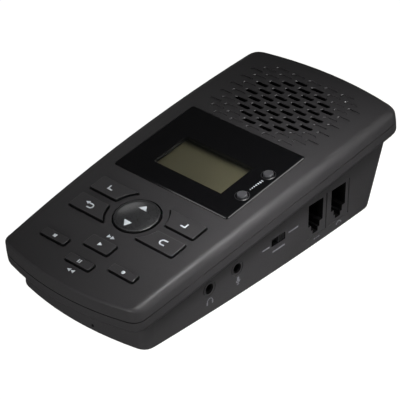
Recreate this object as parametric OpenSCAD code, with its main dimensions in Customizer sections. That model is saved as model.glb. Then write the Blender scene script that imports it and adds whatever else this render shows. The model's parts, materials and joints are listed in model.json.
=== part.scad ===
// Desktop phone call recorder: an arched, sloping slab on a wedge pedestal, with keys, display,
// speaker grille and line sockets. Millimetres, +Z up, X across, Y from the front edge to the rear.
// The origin lies on the table under the middle of the body.

/* [Slab] */
// Length of the slab between its corners, along the slope
body_l = 164.8; // [162:0.2:170]
// Width across the front corners
front_w = 77.2; // [76:0.2:84]
// Width across the rear corners
rear_w = 83.4; // [82:0.2:90]
// Outward bow of each long side
side_bow = 2.2; // [1.4:0.1:3.4]
// Outward bow of the front edge
front_bow = 5.5; // [4:0.1:8]
// Outward bow of the rear edge
rear_bow = 5.2; // [4:0.1:8]
// Length of the rounding along each edge at a front plan corner
front_corner_leg = 4.6; // [4.2:0.1:9]
// Length of the rounding along each edge at a rear plan corner
rear_corner_leg = 6; // [5.6:0.1:9]
// Slope of the slab in degrees
tilt = 7.8; // [5:0.1:10]
// Height of the seam above the table at mid length, without the arch
seam_h = 30.7; // [30:0.1:38]
// Lengthwise arch of the slab
arch = 2.2; // [1.6:0.1:3]
// Height of the top cover above the seam
cover_h = 7; // [6.8:0.1:9]
// Height of the lower case's band below the seam
band_h = 6.4; // [5:0.1:7.4]
// Wall of both shells
wall = 2.2; // [1.8:0.1:2.6]
// Open groove at the seam
seam_gap = 0.5; // [0.2:0.05:0.6]
// Rounding of the cover's side and rear edges
side_edge_r = 3.8; // [2:0.1:4]
// Rounding of the cover's front edge
front_edge_r = 1.3; // [1:0.1:3]

/* [Pedestal] */
// Recess of the pedestal's front face under the slab
front_step = 7; // [6:0.1:9]
// Recess of the pedestal's side at the front
side_step_front = 3.2; // [3:0.1:4]
// Recess of the pedestal's side at the rear
side_step_rear = 5.3; // [4.5:0.1:6]
// Recess of the pedestal's rear face at its top
rear_step = 1; // [0.5:0.1:2]
// Lean of the rear wall in degrees
rear_lean = 17.8; // [12:0.1:19]
// Rounding under the band
belly_r = 2.8; // [1.5:0.1:3.2]
// Rounding of the base's side and front edge
base_edge_r = 0.9; // [0.6:0.1:2]
// Rounding of the base's rear edge
base_rear_r = 6.5; // [3:0.5:7]
// Thickness of the base
floor_t = 2; // [1.6:0.1:2.4]

/* [Keys] */
// Distance of the rocker's middle from the slab's front end
nav_from_front = 41.5; // [41:0.1:42.5]
// Diameter of the rocker
nav_d = 20; // [18:0.2:21]
// Rocking angle to each side
nav_rock = 2.5; // [1:0.5:3]
// Radius of the arc that the four menu keys leave round the rocker
menu_arc_r = 14; // [13.4:0.1:15]
// Distance of the menu keys' outer edges from the middle
menu_outer_u = 29.2; // [27:0.1:30]
// Distance of the menu keys' near edges from the rocker's middle line
menu_near_v = 2; // [1.6:0.1:3]
// Distance of the menu keys' far edges from the rocker's middle line
menu_far_v = 10.8; // [9:0.1:11.5]
// Width of a transport key
transport_w = 13.6; // [11:0.1:14.5]
// Depth of the stop, pause and record keys
transport_d = 4.2; // [3.6:0.1:4.6]
// Depth of the play key
play_d = 6.6; // [5.5:0.1:7.2]
// Distance of the stop and record keys from the middle
transport_u = 19.4; // [18:0.1:20.5]
// Distance of the stop and record keys from the slab's front end
stop_from_front = 13; // [12.4:0.1:13.6]
// Distance of the play key from the slab's front end
play_from_front = 19.7; // [19:0.1:20.2]
// Distance of the pause key from the slab's front end
pause_from_front = 7.7; // [7.3:0.1:8]
// Height of the key tops over the cover
key_proud = 0.9; // [0.5:0.1:1.4]
// Gap between a key and its opening
key_gap = 0.5; // [0.3:0.05:0.6]
// Travel of a key
key_travel = 0.7; // [0.4:0.1:0.8]

/* [Display] */
// Length of the display panel
lens_l = 50.2; // [48:0.2:52]
// Distance of the display panel's middle from the slab's front end
lens_from_front = 86.4; // [85.6:0.1:87]
// Thickness of the display panel
lens_t = 1.8; // [1.4:0.1:2]
// Height of the display panel's face over the cover
lens_proud = 0.2; // [0:0.05:0.4]
// Gap round the display panel
lens_gap = 0.25; // [0.15:0.05:0.4]
// Width of the display glass
lcd_w = 45.6; // [42:0.2:48]
// Length of the display glass
lcd_l = 28.4; // [26:0.2:30]
// Distance of the display glass's middle from the slab's front end
lcd_from_front = 82.7; // [82:0.1:84]
// Diameter of the two small buttons on the panel
button_d = 4.4; // [3.6:0.1:4.8]
// Distance of the small buttons' middles from the display glass's edge
button_from_lcd = 4.4; // [4:0.1:5.2]
// Distance of the panel's long edges from the small buttons' middles
lens_side = 4.9; // [3.6:0.1:5.8]
// Distance of the rear small button from the slab's front end
rear_button_from_front = 93.2; // [91:0.1:95]
// Distance of the front small button from the slab's front end
front_button_from_front = 76.3; // [74:0.1:78]
// Height of the small buttons over the panel
button_proud = 1; // [0.6:0.1:1.4]
// Travel of the small buttons
button_travel = 0.5; // [0.3:0.1:0.6]

/* [Speaker] */
// Distance of the grille's middle from the slab's rear end
grille_from_rear = 29.1; // [28.6:0.1:30]
// Step between slot columns
grille_du = 4.63; // [4.4:0.01:4.8]
// Step between slot rows
grille_dv = 3.56; // [3.3:0.01:3.7]
// Columns and rows of slots to each side of the middle
grille_n = 6; // [4:1:6]
// Length of a slot
slot_l = 6.4; // [5:0.1:6.8]
// Width of a slot
slot_w = 1.8; // [1:0.1:2]
// Depth of the outer slots, which don't go through
dimple_h = 0.4; // [0.3:0.1:1]
// Radius within which slots go through
grille_open_r = 20.5; // [15:0.5:21]
// Radius of the speaker
speaker_r = 25; // [23:0.5:25.5]

/* [Sockets] */
// Distance of the earphone socket from the slab's front end
earphone_from_front = 43.6; // [42.6:0.1:45]
// Height of the earphone socket
earphone_z = 13.6; // [12.6:0.1:14.4]
// Distance of the microphone socket from the slab's front end
microphone_from_front = 60.3; // [59:0.1:62]
// Height of the microphone socket
microphone_z = 15.2; // [14:0.1:15.8]
// Bore of the audio sockets
audio_bore_d = 3.6; // [3.55:0.05:3.8]
// Depth of the audio sockets
audio_bore_l = 14; // [12:0.5:14]
// Nose diameter of the audio sockets
audio_nose_d = 6.6; // [6:0.1:7.2]
// Distance of the line socket from the slab's rear end
line_from_rear = 53.2; // [52.8:0.1:53.8]
// Distance of the telephone socket from the slab's rear end
phone_from_rear = 37.2; // [36.8:0.1:37.6]
// Width of the modular opening
modular_w = 9.8; // [9.7:0.05:10]
// Height of the modular opening's top
modular_top_z = 23; // [22:0.1:23.6]
// Height of the modular opening's floor
modular_floor_z = 12; // [11.7:0.1:12.6]
// Width of a modular socket's face
modular_face_w = 13.8; // [13:0.1:14.2]
// Depth of a modular socket
modular_depth = 17; // [15:0.5:18]
// Distance of the power inlet from the slab's rear end
power_from_rear = 42.4; // [38:0.1:50]
// Height of the power inlet's middle
power_z = 9.4; // [9:0.1:12]
// Bore of the power inlet
power_bore_d = 6.3; // [6:0.1:6.5]
// Distance of the switch slot's middle from the slab's front end
switch_from_front = 86.2; // [85:0.1:87.4]
// Height of the switch slot's middle
switch_z = 16.7; // [15.6:0.1:17.2]
// Length of the switch slot
switch_slot_l = 8.8; // [8.6:0.1:10]
// Height of the switch slot
switch_slot_h = 3.6; // [3.4:0.1:4.2]
// Travel of the switch over its three places
switch_travel = 4.2; // [3:0.1:4.2]

/* [Hidden] */

eps = 0.01;
$fn = 48;
half_l = body_l / 2;
foot_h = 0.8;
foot_r = 5;
foot_recess = 0.8;
seat_gap = 0.3;
touch_gap = 0.05;

// Places along the slab and along the body, counted from the middle
function from_front(d) = d - half_l;
function from_rear(d) = half_l - d;
nav_v = from_front(nav_from_front);
stop_v = from_front(stop_from_front);
play_v = from_front(play_from_front);
pause_v = from_front(pause_from_front);
lens_v = from_front(lens_from_front);
button_u = lcd_w / 2 + button_from_lcd;
lens_w = 2 * (button_u + lens_side);
lcd_v = from_front(lcd_from_front);
rear_button_v = from_front(rear_button_from_front);
front_button_v = from_front(front_button_from_front);
grille_v = from_rear(grille_from_rear);
earphone_y = from_front(earphone_from_front);
microphone_y = from_front(microphone_from_front);
switch_y = from_front(switch_from_front);
line_y = from_rear(line_from_rear);
phone_y = from_rear(phone_from_rear);
power_y = from_rear(power_from_rear);

// Points per stretch of the plan outline
n_end = 5;
n_corner = 5;
n_side = 12;

// Height of the seam's arch and of the cover's top over the slab's flat mid plane
function arch_w(v) = arch * (1 - pow(v / half_l, 2));
function top_w(v) = cover_h + arch_w(v);
function top_slope(v) = atan(-2 * arch * v / pow(half_l, 2));
function to_world(p) = [
    p.x,
    p.y * cos(tilt) - p.z * sin(tilt),
    seam_h + p.y * sin(tilt) + p.z * cos(tilt)
];
// Height over the table of a surface that lies h above the seam, at a place y along the body
function slab_z(y, h) =
    let (w = arch_w(y / cos(tilt)) + h, v = (y + w * sin(tilt)) / cos(tilt))
    seam_h + v * sin(tilt) + w * cos(tilt);

module slab() {
    translate([0, 0, seam_h]) rotate([tilt, 0, 0]) children();
}

// Local frame on the cover's surface, its Z square to the surface
module on_top(u, v) {
    slab() translate([u, v, top_w(v)]) rotate([top_slope(v), 0, 0]) children();
}

// Half width of the slab, and of the pedestal under it
function half_w(v) =
    (front_w + (rear_w - front_w) * (v + half_l) / body_l) / 2 + side_bow * (1 - pow(v / half_l, 2));
function stepped_w(v, vf, vr, sf, sr) = half_w(v) - sf - (sr - sf) * (v - vf) / (vr - vf);

function bezier(a, b, c, t) = (1 - t) * (1 - t) * a + 2 * t * (1 - t) * b + t * t * c;

// Right half of a plan outline, front middle to rear middle: bowed end, rounded corner, bowed side,
// rounded corner, bowed end
function right_half(vf, vr, bf, br, sf, sr) =
    let (
        wf = stepped_w(vf, vf, vr, sf, sr),
        wr = stepped_w(vr, vf, vr, sf, sr),
        front = function (u) [u, vf - bf * (1 - pow(u / wf, 2))],
        side = function (v) [stepped_w(v, vf, vr, sf, sr), v],
        rear = function (u) [u, vr + br * (1 - pow(u / wr, 2))],
        uf = wf - front_corner_leg,
        ur = wr - rear_corner_leg,
        v0 = vf + front_corner_leg,
        v1 = vr - rear_corner_leg
    )
    concat(
        [for (i = [0 : n_end - 1]) front(uf * i / n_end)],
        [for (i = [0 : n_corner - 1]) bezier(front(uf), [wf, vf], side(v0), i / n_corner)],
        [for (i = [0 : n_side - 1]) side(v0 + (v1 - v0) * i / n_side)],
        [for (i = [0 : n_corner - 1]) bezier(side(v1), [wr, vr], rear(ur), i / n_corner)],
        [for (i = [0 : n_end]) rear(ur * (1 - i / n_end))]
    );
function both_halves(right) =
    concat(right, [for (i = [len(right) - 2 : -1 : 1]) [-right[i].x, right[i].y]]);

// Outward normals of a closed outline, and the outline drawn in by a distance or by one per point
function normals(pts) =
    let (n = len(pts))
    [for (i = [0 : n - 1])
        let (t = pts[(i + 1) % n] - pts[(i + n - 1) % n]) [t.y, -t.x] / norm(t)];
function drawn_in(pts, d) =
    let (nn = normals(pts))
    [for (i = [0 : len(pts) - 1]) pts[i] - nn[i] * (is_list(d) ? d[i] : d)];

// Side faces between rings of points, n points to a ring
function band_faces(rings, n) = [
    for (k = [0 : rings - 2], i = [0 : n - 1])
        let (j = (i + 1) % n, a = k * n, b = a + n)
        each [[a + i, b + i, b + j], [a + i, b + j, a + j]]
];
// Closing faces of a symmetric ring, in strips across it
function strip_faces(first, n, up) = [
    for (i = [0 : n / 2 - 1])
        let (r = [first + i, first + i + 1, first + (n - i - 1) % n, first + (n - i) % n])
        each (up ? [[r[3], r[2], r[1]], [r[3], r[1], r[0]]] : [[r[0], r[1], r[2]], [r[0], r[2], r[3]]])
];
function proper(faces) = [for (f = faces) if (f[0] != f[1] && f[1] != f[2] && f[2] != f[0]) f];

// Skin through symmetric rings, closed by strips at both ends
module shell_loft(rings) {
    n = len(rings[0]);
    last = (len(rings) - 1) * n;
    polyhedron(
        points = [for (r = rings) each r],
        faces = concat(
            band_faces(len(rings), n),
            proper(strip_faces(0, n, false)),
            proper(strip_faces(last, n, true))
        )
    );
}

// Skin through flat rings of any outline, closed by one face at each end
module flat_loft(rings) {
    n = len(rings[0]);
    last = (len(rings) - 1) * n;
    polyhedron(
        points = [for (r = rings) each r],
        faces = concat(
            band_faces(len(rings), n),
            [[for (i = [0 : n - 1]) i]],
            [[for (i = [n - 1 : -1 : 0]) last + i]]
        )
    );
}
function at_z(pts, z) = [for (p = pts) [p.x, p.y, z]];

// Plan outline of the slab
slab_plan = both_halves(right_half(-half_l, half_l, front_bow, rear_bow, 0, 0));
slab_normals = normals(slab_plan);
// A ring of the slab, drawn in by d and lifted h over the seam
function slab_ring(d, h) =
    let (p = drawn_in(slab_plan, d))
    [for (i = [0 : len(p) - 1])
        to_world([p[i].x, p[i].y, arch_w(p[i].y) + (is_list(h) ? h[i] : h)])];

tongue_h = 1;
tongue_d = wall / 2;
tongue_gap = 0.2;
// The inner rounding stays inside the tightest bend of the front corners
inner_round = min(1.4, 0.7 * front_corner_leg - wall - 0.4);
wall_draft = 0.25;
edge_r = [for (n = slab_normals) side_edge_r + (front_edge_r - side_edge_r) * pow(max(0, -n.y), 1.2)];

module cover_shell() {
    shell_loft(concat(
        [
            slab_ring(wall + inner_round, cover_h - wall),
            slab_ring(wall, cover_h - wall - inner_round),
            slab_ring(wall, tongue_h + seat_gap),
            slab_ring(tongue_d - tongue_gap, tongue_h + seat_gap),
            slab_ring(tongue_d - tongue_gap, seam_gap),
            slab_ring(0, seam_gap)
        ],
        [for (a = [0 : 22.5 : 90])
            slab_ring([for (r = edge_r) wall_draft + r * (1 - cos(a))],
                [for (r = edge_r) cover_h - r * (1 - sin(a))])]
    ));
}

// Pedestal: its outline at the underside of the slab and at the base
ped_w_front = half_w(-half_l) - side_step_front;
ped_w_rear = half_w(half_l) - side_step_rear;
ped_front_bow = front_bow * pow(ped_w_front / half_w(-half_l), 2);
ped_rear_bow = rear_bow * pow(ped_w_rear / half_w(half_l), 2);
under_shift = band_h * sin(tilt);
ped_front_y = -(half_l + front_bow - ped_front_bow) * cos(tilt) + under_shift + front_step;
ped_rear_top_y = (half_l + rear_bow - ped_rear_bow) * cos(tilt) + under_shift - rear_step;
ped_rear_base_y = ped_rear_top_y - (slab_z(ped_rear_top_y, -band_h) - foot_h) * tan(rear_lean);
function ped_plan(rear_y, d) = both_halves(right_half(ped_front_y + d, rear_y - d, ped_front_bow,
    ped_rear_bow, side_step_front + d, side_step_rear + d));
ped_top = ped_plan(ped_rear_top_y, 0);
ped_base = ped_plan(ped_rear_base_y, 0);
base_r = [for (n = normals(ped_base)) base_edge_r + (base_rear_r - base_edge_r) * pow(max(0, n.y), 2)];
inner_wall = wall + 0.4;
inner_floor_z = foot_h + floor_t;
band_floor = band_h - floor_t;
// The band's rounding gets smaller where little of its underside is left
belly = [for (i = [0 : len(slab_plan) - 1])
    let (ledge = (slab_plan[i] - ped_top[i]) * slab_normals[i])
    min(belly_r, max(0.3, 0.8 * ledge))];

module case_shell() {
    shell_loft(concat(
        [for (a = [0 : 30 : 90])
            let (p = drawn_in(ped_base, [for (r = base_r) r * (1 - sin(a))]))
            [for (i = [0 : len(p) - 1]) [p[i].x, p[i].y, foot_h + base_r[i] * (1 - cos(a))]]],
        [[for (p = ped_top) [p.x, p.y, slab_z(p.y, -band_h)]]],
        [for (a = [90 : -22.5 : 0])
            slab_ring([for (r = belly) r * (1 - cos(a))], -band_h + belly_r * (1 - sin(a)))],
        [
            slab_ring(0, 0),
            slab_ring(tongue_d, 0),
            slab_ring(tongue_d, tongue_h),
            slab_ring(wall, tongue_h),
            slab_ring(wall, -band_floor + inner_round / 2),
            slab_ring(wall + inner_round / 2, -band_floor)
        ],
        [[for (p = ped_plan(ped_rear_top_y - inner_round / 2, inner_wall))
            [p.x, p.y, slab_z(p.y, -band_floor)]]],
        [at_z(ped_plan(ped_rear_base_y - inner_round / 2, inner_wall), inner_floor_z)]
    ));
}

// Outer face of the pedestal's side wall at a place along the body
function wall_x(y) = stepped_w(y, ped_front_y, ped_rear_base_y, side_step_front, side_step_rear);

// Outlines of the keys in their local frames, corners rounded by short curves
function rounded(pts) = [
    for (i = [0 : len(pts) - 1])
        let (n = len(pts), p = pts[i], a = pts[(i + n - 1) % n], b = pts[(i + 1) % n], c = [p.x, p.y])
        each (p[2] == 0 ? [c] :
            let (
                d = [a.x - p.x, a.y - p.y],
                e = [b.x - p.x, b.y - p.y],
                s = c + d * p[2] / norm(d),
                f = c + e * p[2] / norm(e)
            )
            [for (k = [0 : 4]) bezier(s, c, f, k / 4)])
];
key_corner = 0.9;
function box_outline(w, d, r) =
    rounded([[-w / 2, -d / 2, r], [w / 2, -d / 2, r], [w / 2, d / 2, r], [-w / 2, d / 2, r]]);
// Menu key to the right of the rocker and behind its middle line, drawn about its own middle
menu_mid_v = (menu_near_v + menu_far_v) / 2;
function menu_arc_u(v) = sqrt(pow(menu_arc_r, 2) - pow(v, 2));
menu_outline = rounded(concat(
    [[menu_arc_u(menu_near_v), menu_near_v - menu_mid_v, key_corner * 0.6]],
    [[menu_outer_u, menu_near_v - menu_mid_v, key_corner]],
    [[menu_outer_u, menu_far_v - menu_mid_v, key_corner]],
    [[menu_arc_u(menu_far_v), menu_far_v - menu_mid_v, key_corner * 0.6]],
    [for (i = [1 : 7])
        let (v = menu_far_v + (menu_near_v - menu_far_v) * i / 8)
        [menu_arc_u(v), v - menu_mid_v, 0]]
));
function mirrored(pts, sx, sy) =
    let (m = [for (p = pts) [sx * p.x, sy * p.y]])
    sx * sy > 0 ? m : [for (i = [len(m) - 1 : -1 : 0]) m[i]];
transport_outline = box_outline(transport_w, transport_d, key_corner);
play_outline = box_outline(transport_w, play_d, key_corner);

flange_out = 0.9;
flange_t = 0.8;
key_edge = 0.45;
key_base_z = -wall - seat_gap;
dome_w = 2.75;
board_top_w = 1;
board_t = 1.6;
mat_t = 0.7;

// A key in its local frame: rounded cap, flange held under the cover, and a foot over its dome
module key_solid(pts, v, foot_u, foot_r) {
    foot_z = -(top_w(v) - dome_w) + key_travel + seat_gap;
    flat_loft([
        at_z(pts, key_base_z - eps),
        at_z(pts, key_proud - key_edge),
        at_z(drawn_in(pts, key_edge * 0.3), key_proud - key_edge * 0.3),
        at_z(drawn_in(pts, key_edge), key_proud)
    ]);
    translate([0, 0, key_base_z - flange_t])
        linear_extrude(flange_t) polygon(drawn_in(pts, -flange_out));
    translate([foot_u, 0, foot_z]) cylinder(r = foot_r, h = key_base_z - foot_z - eps);
}
module key_opening(pts) {
    translate([0, 0, -wall - 3])
        linear_extrude(wall + 5) polygon(drawn_in(pts, -key_gap));
}

soft_v = nav_v + menu_mid_v;
lower_v = nav_v - menu_mid_v;
menu_foot_u = (menu_arc_r + menu_outer_u) / 2;
menu_foot_r = 2.4;
small_foot_r = 1.4;
keycap = "#37363a";

module left_soft_key() {
    color(keycap) on_top(0, soft_v)
        key_solid(mirrored(menu_outline, -1, 1), soft_v, -menu_foot_u, menu_foot_r);
}
module right_soft_key() {
    color(keycap) on_top(0, soft_v) key_solid(menu_outline, soft_v, menu_foot_u, menu_foot_r);
}
module back_key() {
    color(keycap) on_top(0, lower_v)
        key_solid(mirrored(menu_outline, -1, -1), lower_v, -menu_foot_u, menu_foot_r);
}
module clear_key() {
    color(keycap) on_top(0, lower_v)
        key_solid(mirrored(menu_outline, 1, -1), lower_v, menu_foot_u, menu_foot_r);
}
module stop_key() {
    color(keycap) on_top(-transport_u, stop_v) key_solid(transport_outline, stop_v, 0, small_foot_r);
}
module record_key() {
    color(keycap) on_top(transport_u, stop_v) key_solid(transport_outline, stop_v, 0, small_foot_r);
}
module play_key() {
    color(keycap) on_top(0, play_v) key_solid(play_outline, play_v, 0, small_foot_r);
}
module pause_key() {
    color(keycap) on_top(0, pause_v) key_solid(transport_outline, pause_v, 0, small_foot_r);
}

// Rocker: domed disc on an axle that turns in a saddle on the mat
nav_r = nav_d / 2;
nav_gap = 0.7;
nav_dome_h = 1.5;
nav_rim_h = 0.5;
nav_flange_z = -wall - 0.8;
pivot_w = 4;
axle_r = 1.6;
axle_l = 5;
axle_gap = 0.15;
saddle_r = 3;
saddle_top_w = 3.2;
nub_r = 1.3;
nub_v = 7;
nub_h = 0.5;
nav_cap_r = nav_r - 1;
nav_rise = nav_dome_h - nav_rim_h;
pivot_z = pivot_w - top_w(nav_v);
// The axle's place along the slab, under the sloping surface
pivot_v = nav_v - pivot_z * sin(top_slope(nav_v));
module nav_key() {
    dome_r = (pow(nav_cap_r, 2) + pow(nav_rise, 2)) / (2 * nav_rise);
    color(keycap) on_top(0, nav_v) {
        intersection() {
            translate([0, 0, nav_dome_h - dome_r]) sphere(r = dome_r, $fn = 96);
            translate([0, 0, key_base_z]) cylinder(r = nav_cap_r, h = wall + 4);
        }
        rotate_extrude($fn = 72) polygon([
            [0, nav_flange_z - flange_t], [nav_r + flange_out, nav_flange_z - flange_t],
            [nav_r + flange_out, nav_flange_z], [nav_r, nav_flange_z], [nav_r, nav_rim_h - 0.5],
            [nav_r - 0.4, nav_rim_h - 0.1], [0, nav_rim_h - 0.1]
        ]);
        translate([0, 0, pivot_z]) {
            rotate([0, 90, 0]) cylinder(r = axle_r, h = axle_l, center = true);
            cylinder(r = axle_r - 0.2, h = nav_flange_z - flange_t - pivot_z + eps);
        }
        for (s = [-1, 1])
            translate([0, s * nub_v, nav_flange_z - flange_t - nub_h])
                cylinder(r = nub_r, h = nub_h + eps);
    }
}

// Speaker grille: staggered slots, open over the speaker and shallow round it
function in_grille(k, j) = (k + j) % 2 == 0 && !(abs(k) == grille_n && abs(j) == grille_n);
module grille_slots() {
    for (k = [-grille_n : grille_n], j = [-grille_n : grille_n])
        if (in_grille(k, j)) {
            u = k * grille_du;
            v = j * grille_dv;
            open = norm([u, v]) <= grille_open_r;
            depth = open ? wall + 4 : dimple_h;
            on_top(u, grille_v + v) translate([0, 0, -depth]) linear_extrude(depth + 1) {
                square([slot_l - slot_w, slot_w], center = true);
                for (s = [-1, 1]) translate([s * (slot_l - slot_w) / 2, 0]) circle(d = slot_w, $fn = 24);
            }
        }
}

lens_corner = 1;
lens_edge = 0.35;
lens_floor_t = 1.6;
seat_rim = 1.5;
lens_pocket = lens_t - lens_proud + touch_gap;
lens_outline = box_outline(lens_w, lens_l, lens_corner);
function on_lens(v) = v - lens_v;
lcd_gap = 0.4;
button_gap = 0.3;
button_flange_r = button_d / 2 + 0.8;
button_hole_r = button_d / 2 + button_gap;
button_places = [rear_button_v, front_button_v];

boss_r = 3.2;
boss_bore_r = 1.5;
boss_bore_h = 5.5;
board_boss_r = 2.2;
board_bore_r = 1.1;
post_top_w = -1;
front_screw_u = 28;
front_screw_in = 22.9;
rear_screw_u = 31;
rear_screw_in = 26.4;
front_screw = [front_screw_u, from_front(front_screw_in)];
rear_screw = [rear_screw_u, from_rear(rear_screw_in)];
screw_places = [for (s = [-1, 1], p = [front_screw, rear_screw]) [s * p.x, p.y]];
board_front_screw_u = 18.5;
board_front_screw_in = 23.4;
board_rear_screw_out = 1.8;
board_rear_screw_back = 16.5;
board_front_screw = [board_front_screw_u, from_front(board_front_screw_in)];
board_rear_screw = [button_u + board_rear_screw_out, lens_v + board_rear_screw_back];
board_screw_places = [for (s = [-1, 1], p = [board_front_screw, board_rear_screw]) [s * p.x, p.y]];
speaker_ring_z = -wall - 1.6;
speaker_wall = 1.5;
speaker_gap = 0.3;
speaker_rim_h = 3;

module cover_bosses() {
    slab() {
        for (p = screw_places)
            translate([p.x, p.y, post_top_w + touch_gap])
                cylinder(r = boss_r, h = top_w(p.y) - wall / 2 - post_top_w);
        for (p = board_screw_places)
            translate([p.x, p.y, board_top_w + touch_gap])
                cylinder(r = board_boss_r, h = top_w(p.y) - wall / 2 - board_top_w);
    }
    on_top(0, grille_v) translate([0, 0, speaker_ring_z - speaker_rim_h]) difference() {
        cylinder(r = speaker_r + speaker_gap + speaker_wall,
            h = speaker_rim_h - speaker_ring_z - wall / 2);
        translate([0, 0, -1]) cylinder(r = speaker_r + speaker_gap, h = speaker_rim_h + 1);
        cylinder(r = grille_open_r + slot_l / 2 - 1, h = wall + 9);
    }
    on_top(0, lens_v) translate([0, 0, -lens_pocket - lens_floor_t])
        linear_extrude(lens_floor_t + seat_gap)
            square([lens_w + 2 * seat_rim, lens_l + 2 * seat_rim], center = true);
}

module top_cover() {
    color("#3a393c") difference() {
        union() {
            cover_shell();
            cover_bosses();
        }
        on_top(0, lens_v) {
            translate([0, 0, -lens_pocket]) linear_extrude(lens_pocket + 2)
                polygon(drawn_in(lens_outline, -lens_gap));
            translate([0, on_lens(lcd_v), -lens_pocket - lens_floor_t - 2])
                linear_extrude(lens_floor_t + 3)
                    square([lcd_w + 2 * lcd_gap, lcd_l + 2 * lcd_gap], center = true);
            for (v = button_places)
                translate([button_u, on_lens(v), -lens_pocket - lens_floor_t - 2])
                    cylinder(r = button_hole_r, h = lens_floor_t + 4);
        }
        on_top(0, soft_v) for (s = [-1, 1]) key_opening(mirrored(menu_outline, s, 1));
        on_top(0, lower_v) for (s = [-1, 1]) key_opening(mirrored(menu_outline, s, -1));
        for (s = [-1, 1]) on_top(s * transport_u, stop_v) key_opening(transport_outline);
        on_top(0, play_v) key_opening(play_outline);
        on_top(0, pause_v) key_opening(transport_outline);
        on_top(0, nav_v) translate([0, 0, -wall - 3])
            cylinder(r = nav_r + nav_gap, h = wall + 5, $fn = 72);
        grille_slots();
        slab() {
            for (p = screw_places)
                translate([p.x, p.y, post_top_w - 1]) cylinder(r = boss_bore_r, h = boss_bore_h);
            for (p = board_screw_places)
                translate([p.x, p.y, board_top_w - 1]) cylinder(r = board_bore_r, h = 5);
        }
    }
}

module display_lens() {
    color("#0c0c0e") on_top(0, lens_v) difference() {
        flat_loft([
            at_z(lens_outline, lens_proud - lens_t),
            at_z(lens_outline, lens_proud - lens_edge),
            at_z(drawn_in(lens_outline, lens_edge), lens_proud)
        ]);
        for (v = button_places)
            translate([button_u, on_lens(v), -lens_t - 1]) cylinder(r = button_hole_r, h = lens_t + 2);
    }
}

lcd_t = 2.6;
lcd_drop = 0.25;
module lcd_panel() {
    color("#5b5a46") on_top(0, lens_v)
        translate([-lcd_w / 2, on_lens(lcd_v) - lcd_l / 2, -lens_pocket - lcd_drop - lcd_t])
            cube([lcd_w, lcd_l, lcd_t]);
}

// Holder of the display glass: a tray with a rim round the glass, standing on the board
lcd_rim = 1;
lcd_rim_h = 0.9;
lcd_base_z = -lens_pocket - lcd_drop - lcd_t - touch_gap;
lcd_frame_h = top_w(lens_v) + lcd_base_z - board_top_w - touch_gap;
module lcd_frame() {
    color("#1c1c1e") on_top(0, lens_v) translate([0, on_lens(lcd_v), lcd_base_z - lcd_frame_h])
        difference() {
            linear_extrude(lcd_frame_h + lcd_rim_h)
                square([lcd_w + 2 * lcd_rim, lcd_l + 2 * lcd_rim], center = true);
            translate([0, 0, lcd_frame_h]) linear_extrude(lcd_rim_h + 1)
                square([lcd_w + 2 * touch_gap, lcd_l + 2 * touch_gap], center = true);
            translate([0, 0, 1]) linear_extrude(lcd_frame_h)
                square([lcd_w - 4, lcd_l - 4], center = true);
        }
}

// Small button: round cap with a soft top edge, flange under the panel's seat, stem over its switch
button_flange_z = -lens_pocket - lens_floor_t - seat_gap;
switch_body_h = 2;
switch_body_w = 5.2;
switch_stem_h = 0.6;
module display_button(v) {
    stem_z = board_top_w + switch_body_h + switch_stem_h + button_travel + seat_gap - top_w(lens_v);
    stem_r = 1.2;
    base_z = button_flange_z - flange_t;
    top_z = lens_proud + button_proud;
    r = button_d / 2;
    color("#77787a") on_top(0, lens_v) translate([button_u, on_lens(v), 0]) rotate_extrude() polygon([
        [0, stem_z], [stem_r, stem_z], [stem_r, base_z], [button_flange_r, base_z],
        [button_flange_r, button_flange_z], [r, button_flange_z], [r, top_z - 0.4],
        [r - 0.12, top_z - 0.12], [r - 0.4, top_z], [0, top_z]
    ]);
}
module rear_display_button() { display_button(rear_button_v); }
module front_display_button() { display_button(front_button_v); }

// Main board, narrow at the front between the cover's screw bosses
board_front_in = 3.3;
board_rear_back = 21.5;
board_margin = 3.2;
board_neck_in = [12.9, 28.4];
board_shoulder_in = 33.4;
board_front_v = from_front(board_front_in);
board_rear_v = lens_v + board_rear_back;
board_half_w = button_u + switch_body_w / 2 + board_margin;
board_nose_u = 20;
board_neck_u = 23.4;
board_neck_v = [for (d = board_neck_in) from_front(d)];
board_shoulder_v = from_front(board_shoulder_in);
module board_outline(inset) {
    nose = board_nose_u - inset;
    neck = board_neck_u - inset;
    half = board_half_w - inset;
    right = [
        [nose, board_front_v + inset], [neck, board_neck_v[0]], [neck, board_neck_v[1] + inset],
        [half, board_shoulder_v + inset], [half, board_rear_v]
    ];
    polygon(concat(right, [for (i = [len(right) - 1 : -1 : 0]) [-right[i].x, right[i].y]]));
}
module main_board() {
    color("#1f5a36") slab() translate([0, 0, board_top_w - board_t]) difference() {
        linear_extrude(board_t) board_outline(0);
        for (p = board_screw_places)
            translate([p.x, p.y, -1]) cylinder(r = board_bore_r + 0.1, h = board_t + 2);
    }
}
// Processor behind the rocker, memory and codec under the display
chip_t = 1.5;
processor_w = 0.5 * lcd_l;
memory_l = 0.42 * lcd_l;
codec_w = 0.36 * lcd_l;
module chip(u, v, w, l) {
    translate([u - w / 2, v - l / 2, 0]) cube([w, l, chip_t]);
}
module board_chips() {
    color("#17171a") slab() translate([0, 0, board_top_w - board_t - touch_gap - chip_t]) {
        chip(0, nav_v + nav_d, processor_w, processor_w);
        chip(-0.42 * lcd_w, lcd_v, memory_l, memory_l * 0.7);
        chip(0.42 * lcd_w, lcd_v, codec_w, codec_w);
    }
}
module display_switches() {
    color("#2a2a2c") on_top(0, lens_v) for (v = button_places)
        translate([button_u, on_lens(v), board_top_w + touch_gap - top_w(lens_v)]) {
            translate([-switch_body_w / 2, -switch_body_w / 2, 0])
                cube([switch_body_w, switch_body_w, switch_body_h]);
            cylinder(r = 1.7, h = switch_body_h + switch_stem_h - touch_gap);
        }
}

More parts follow.
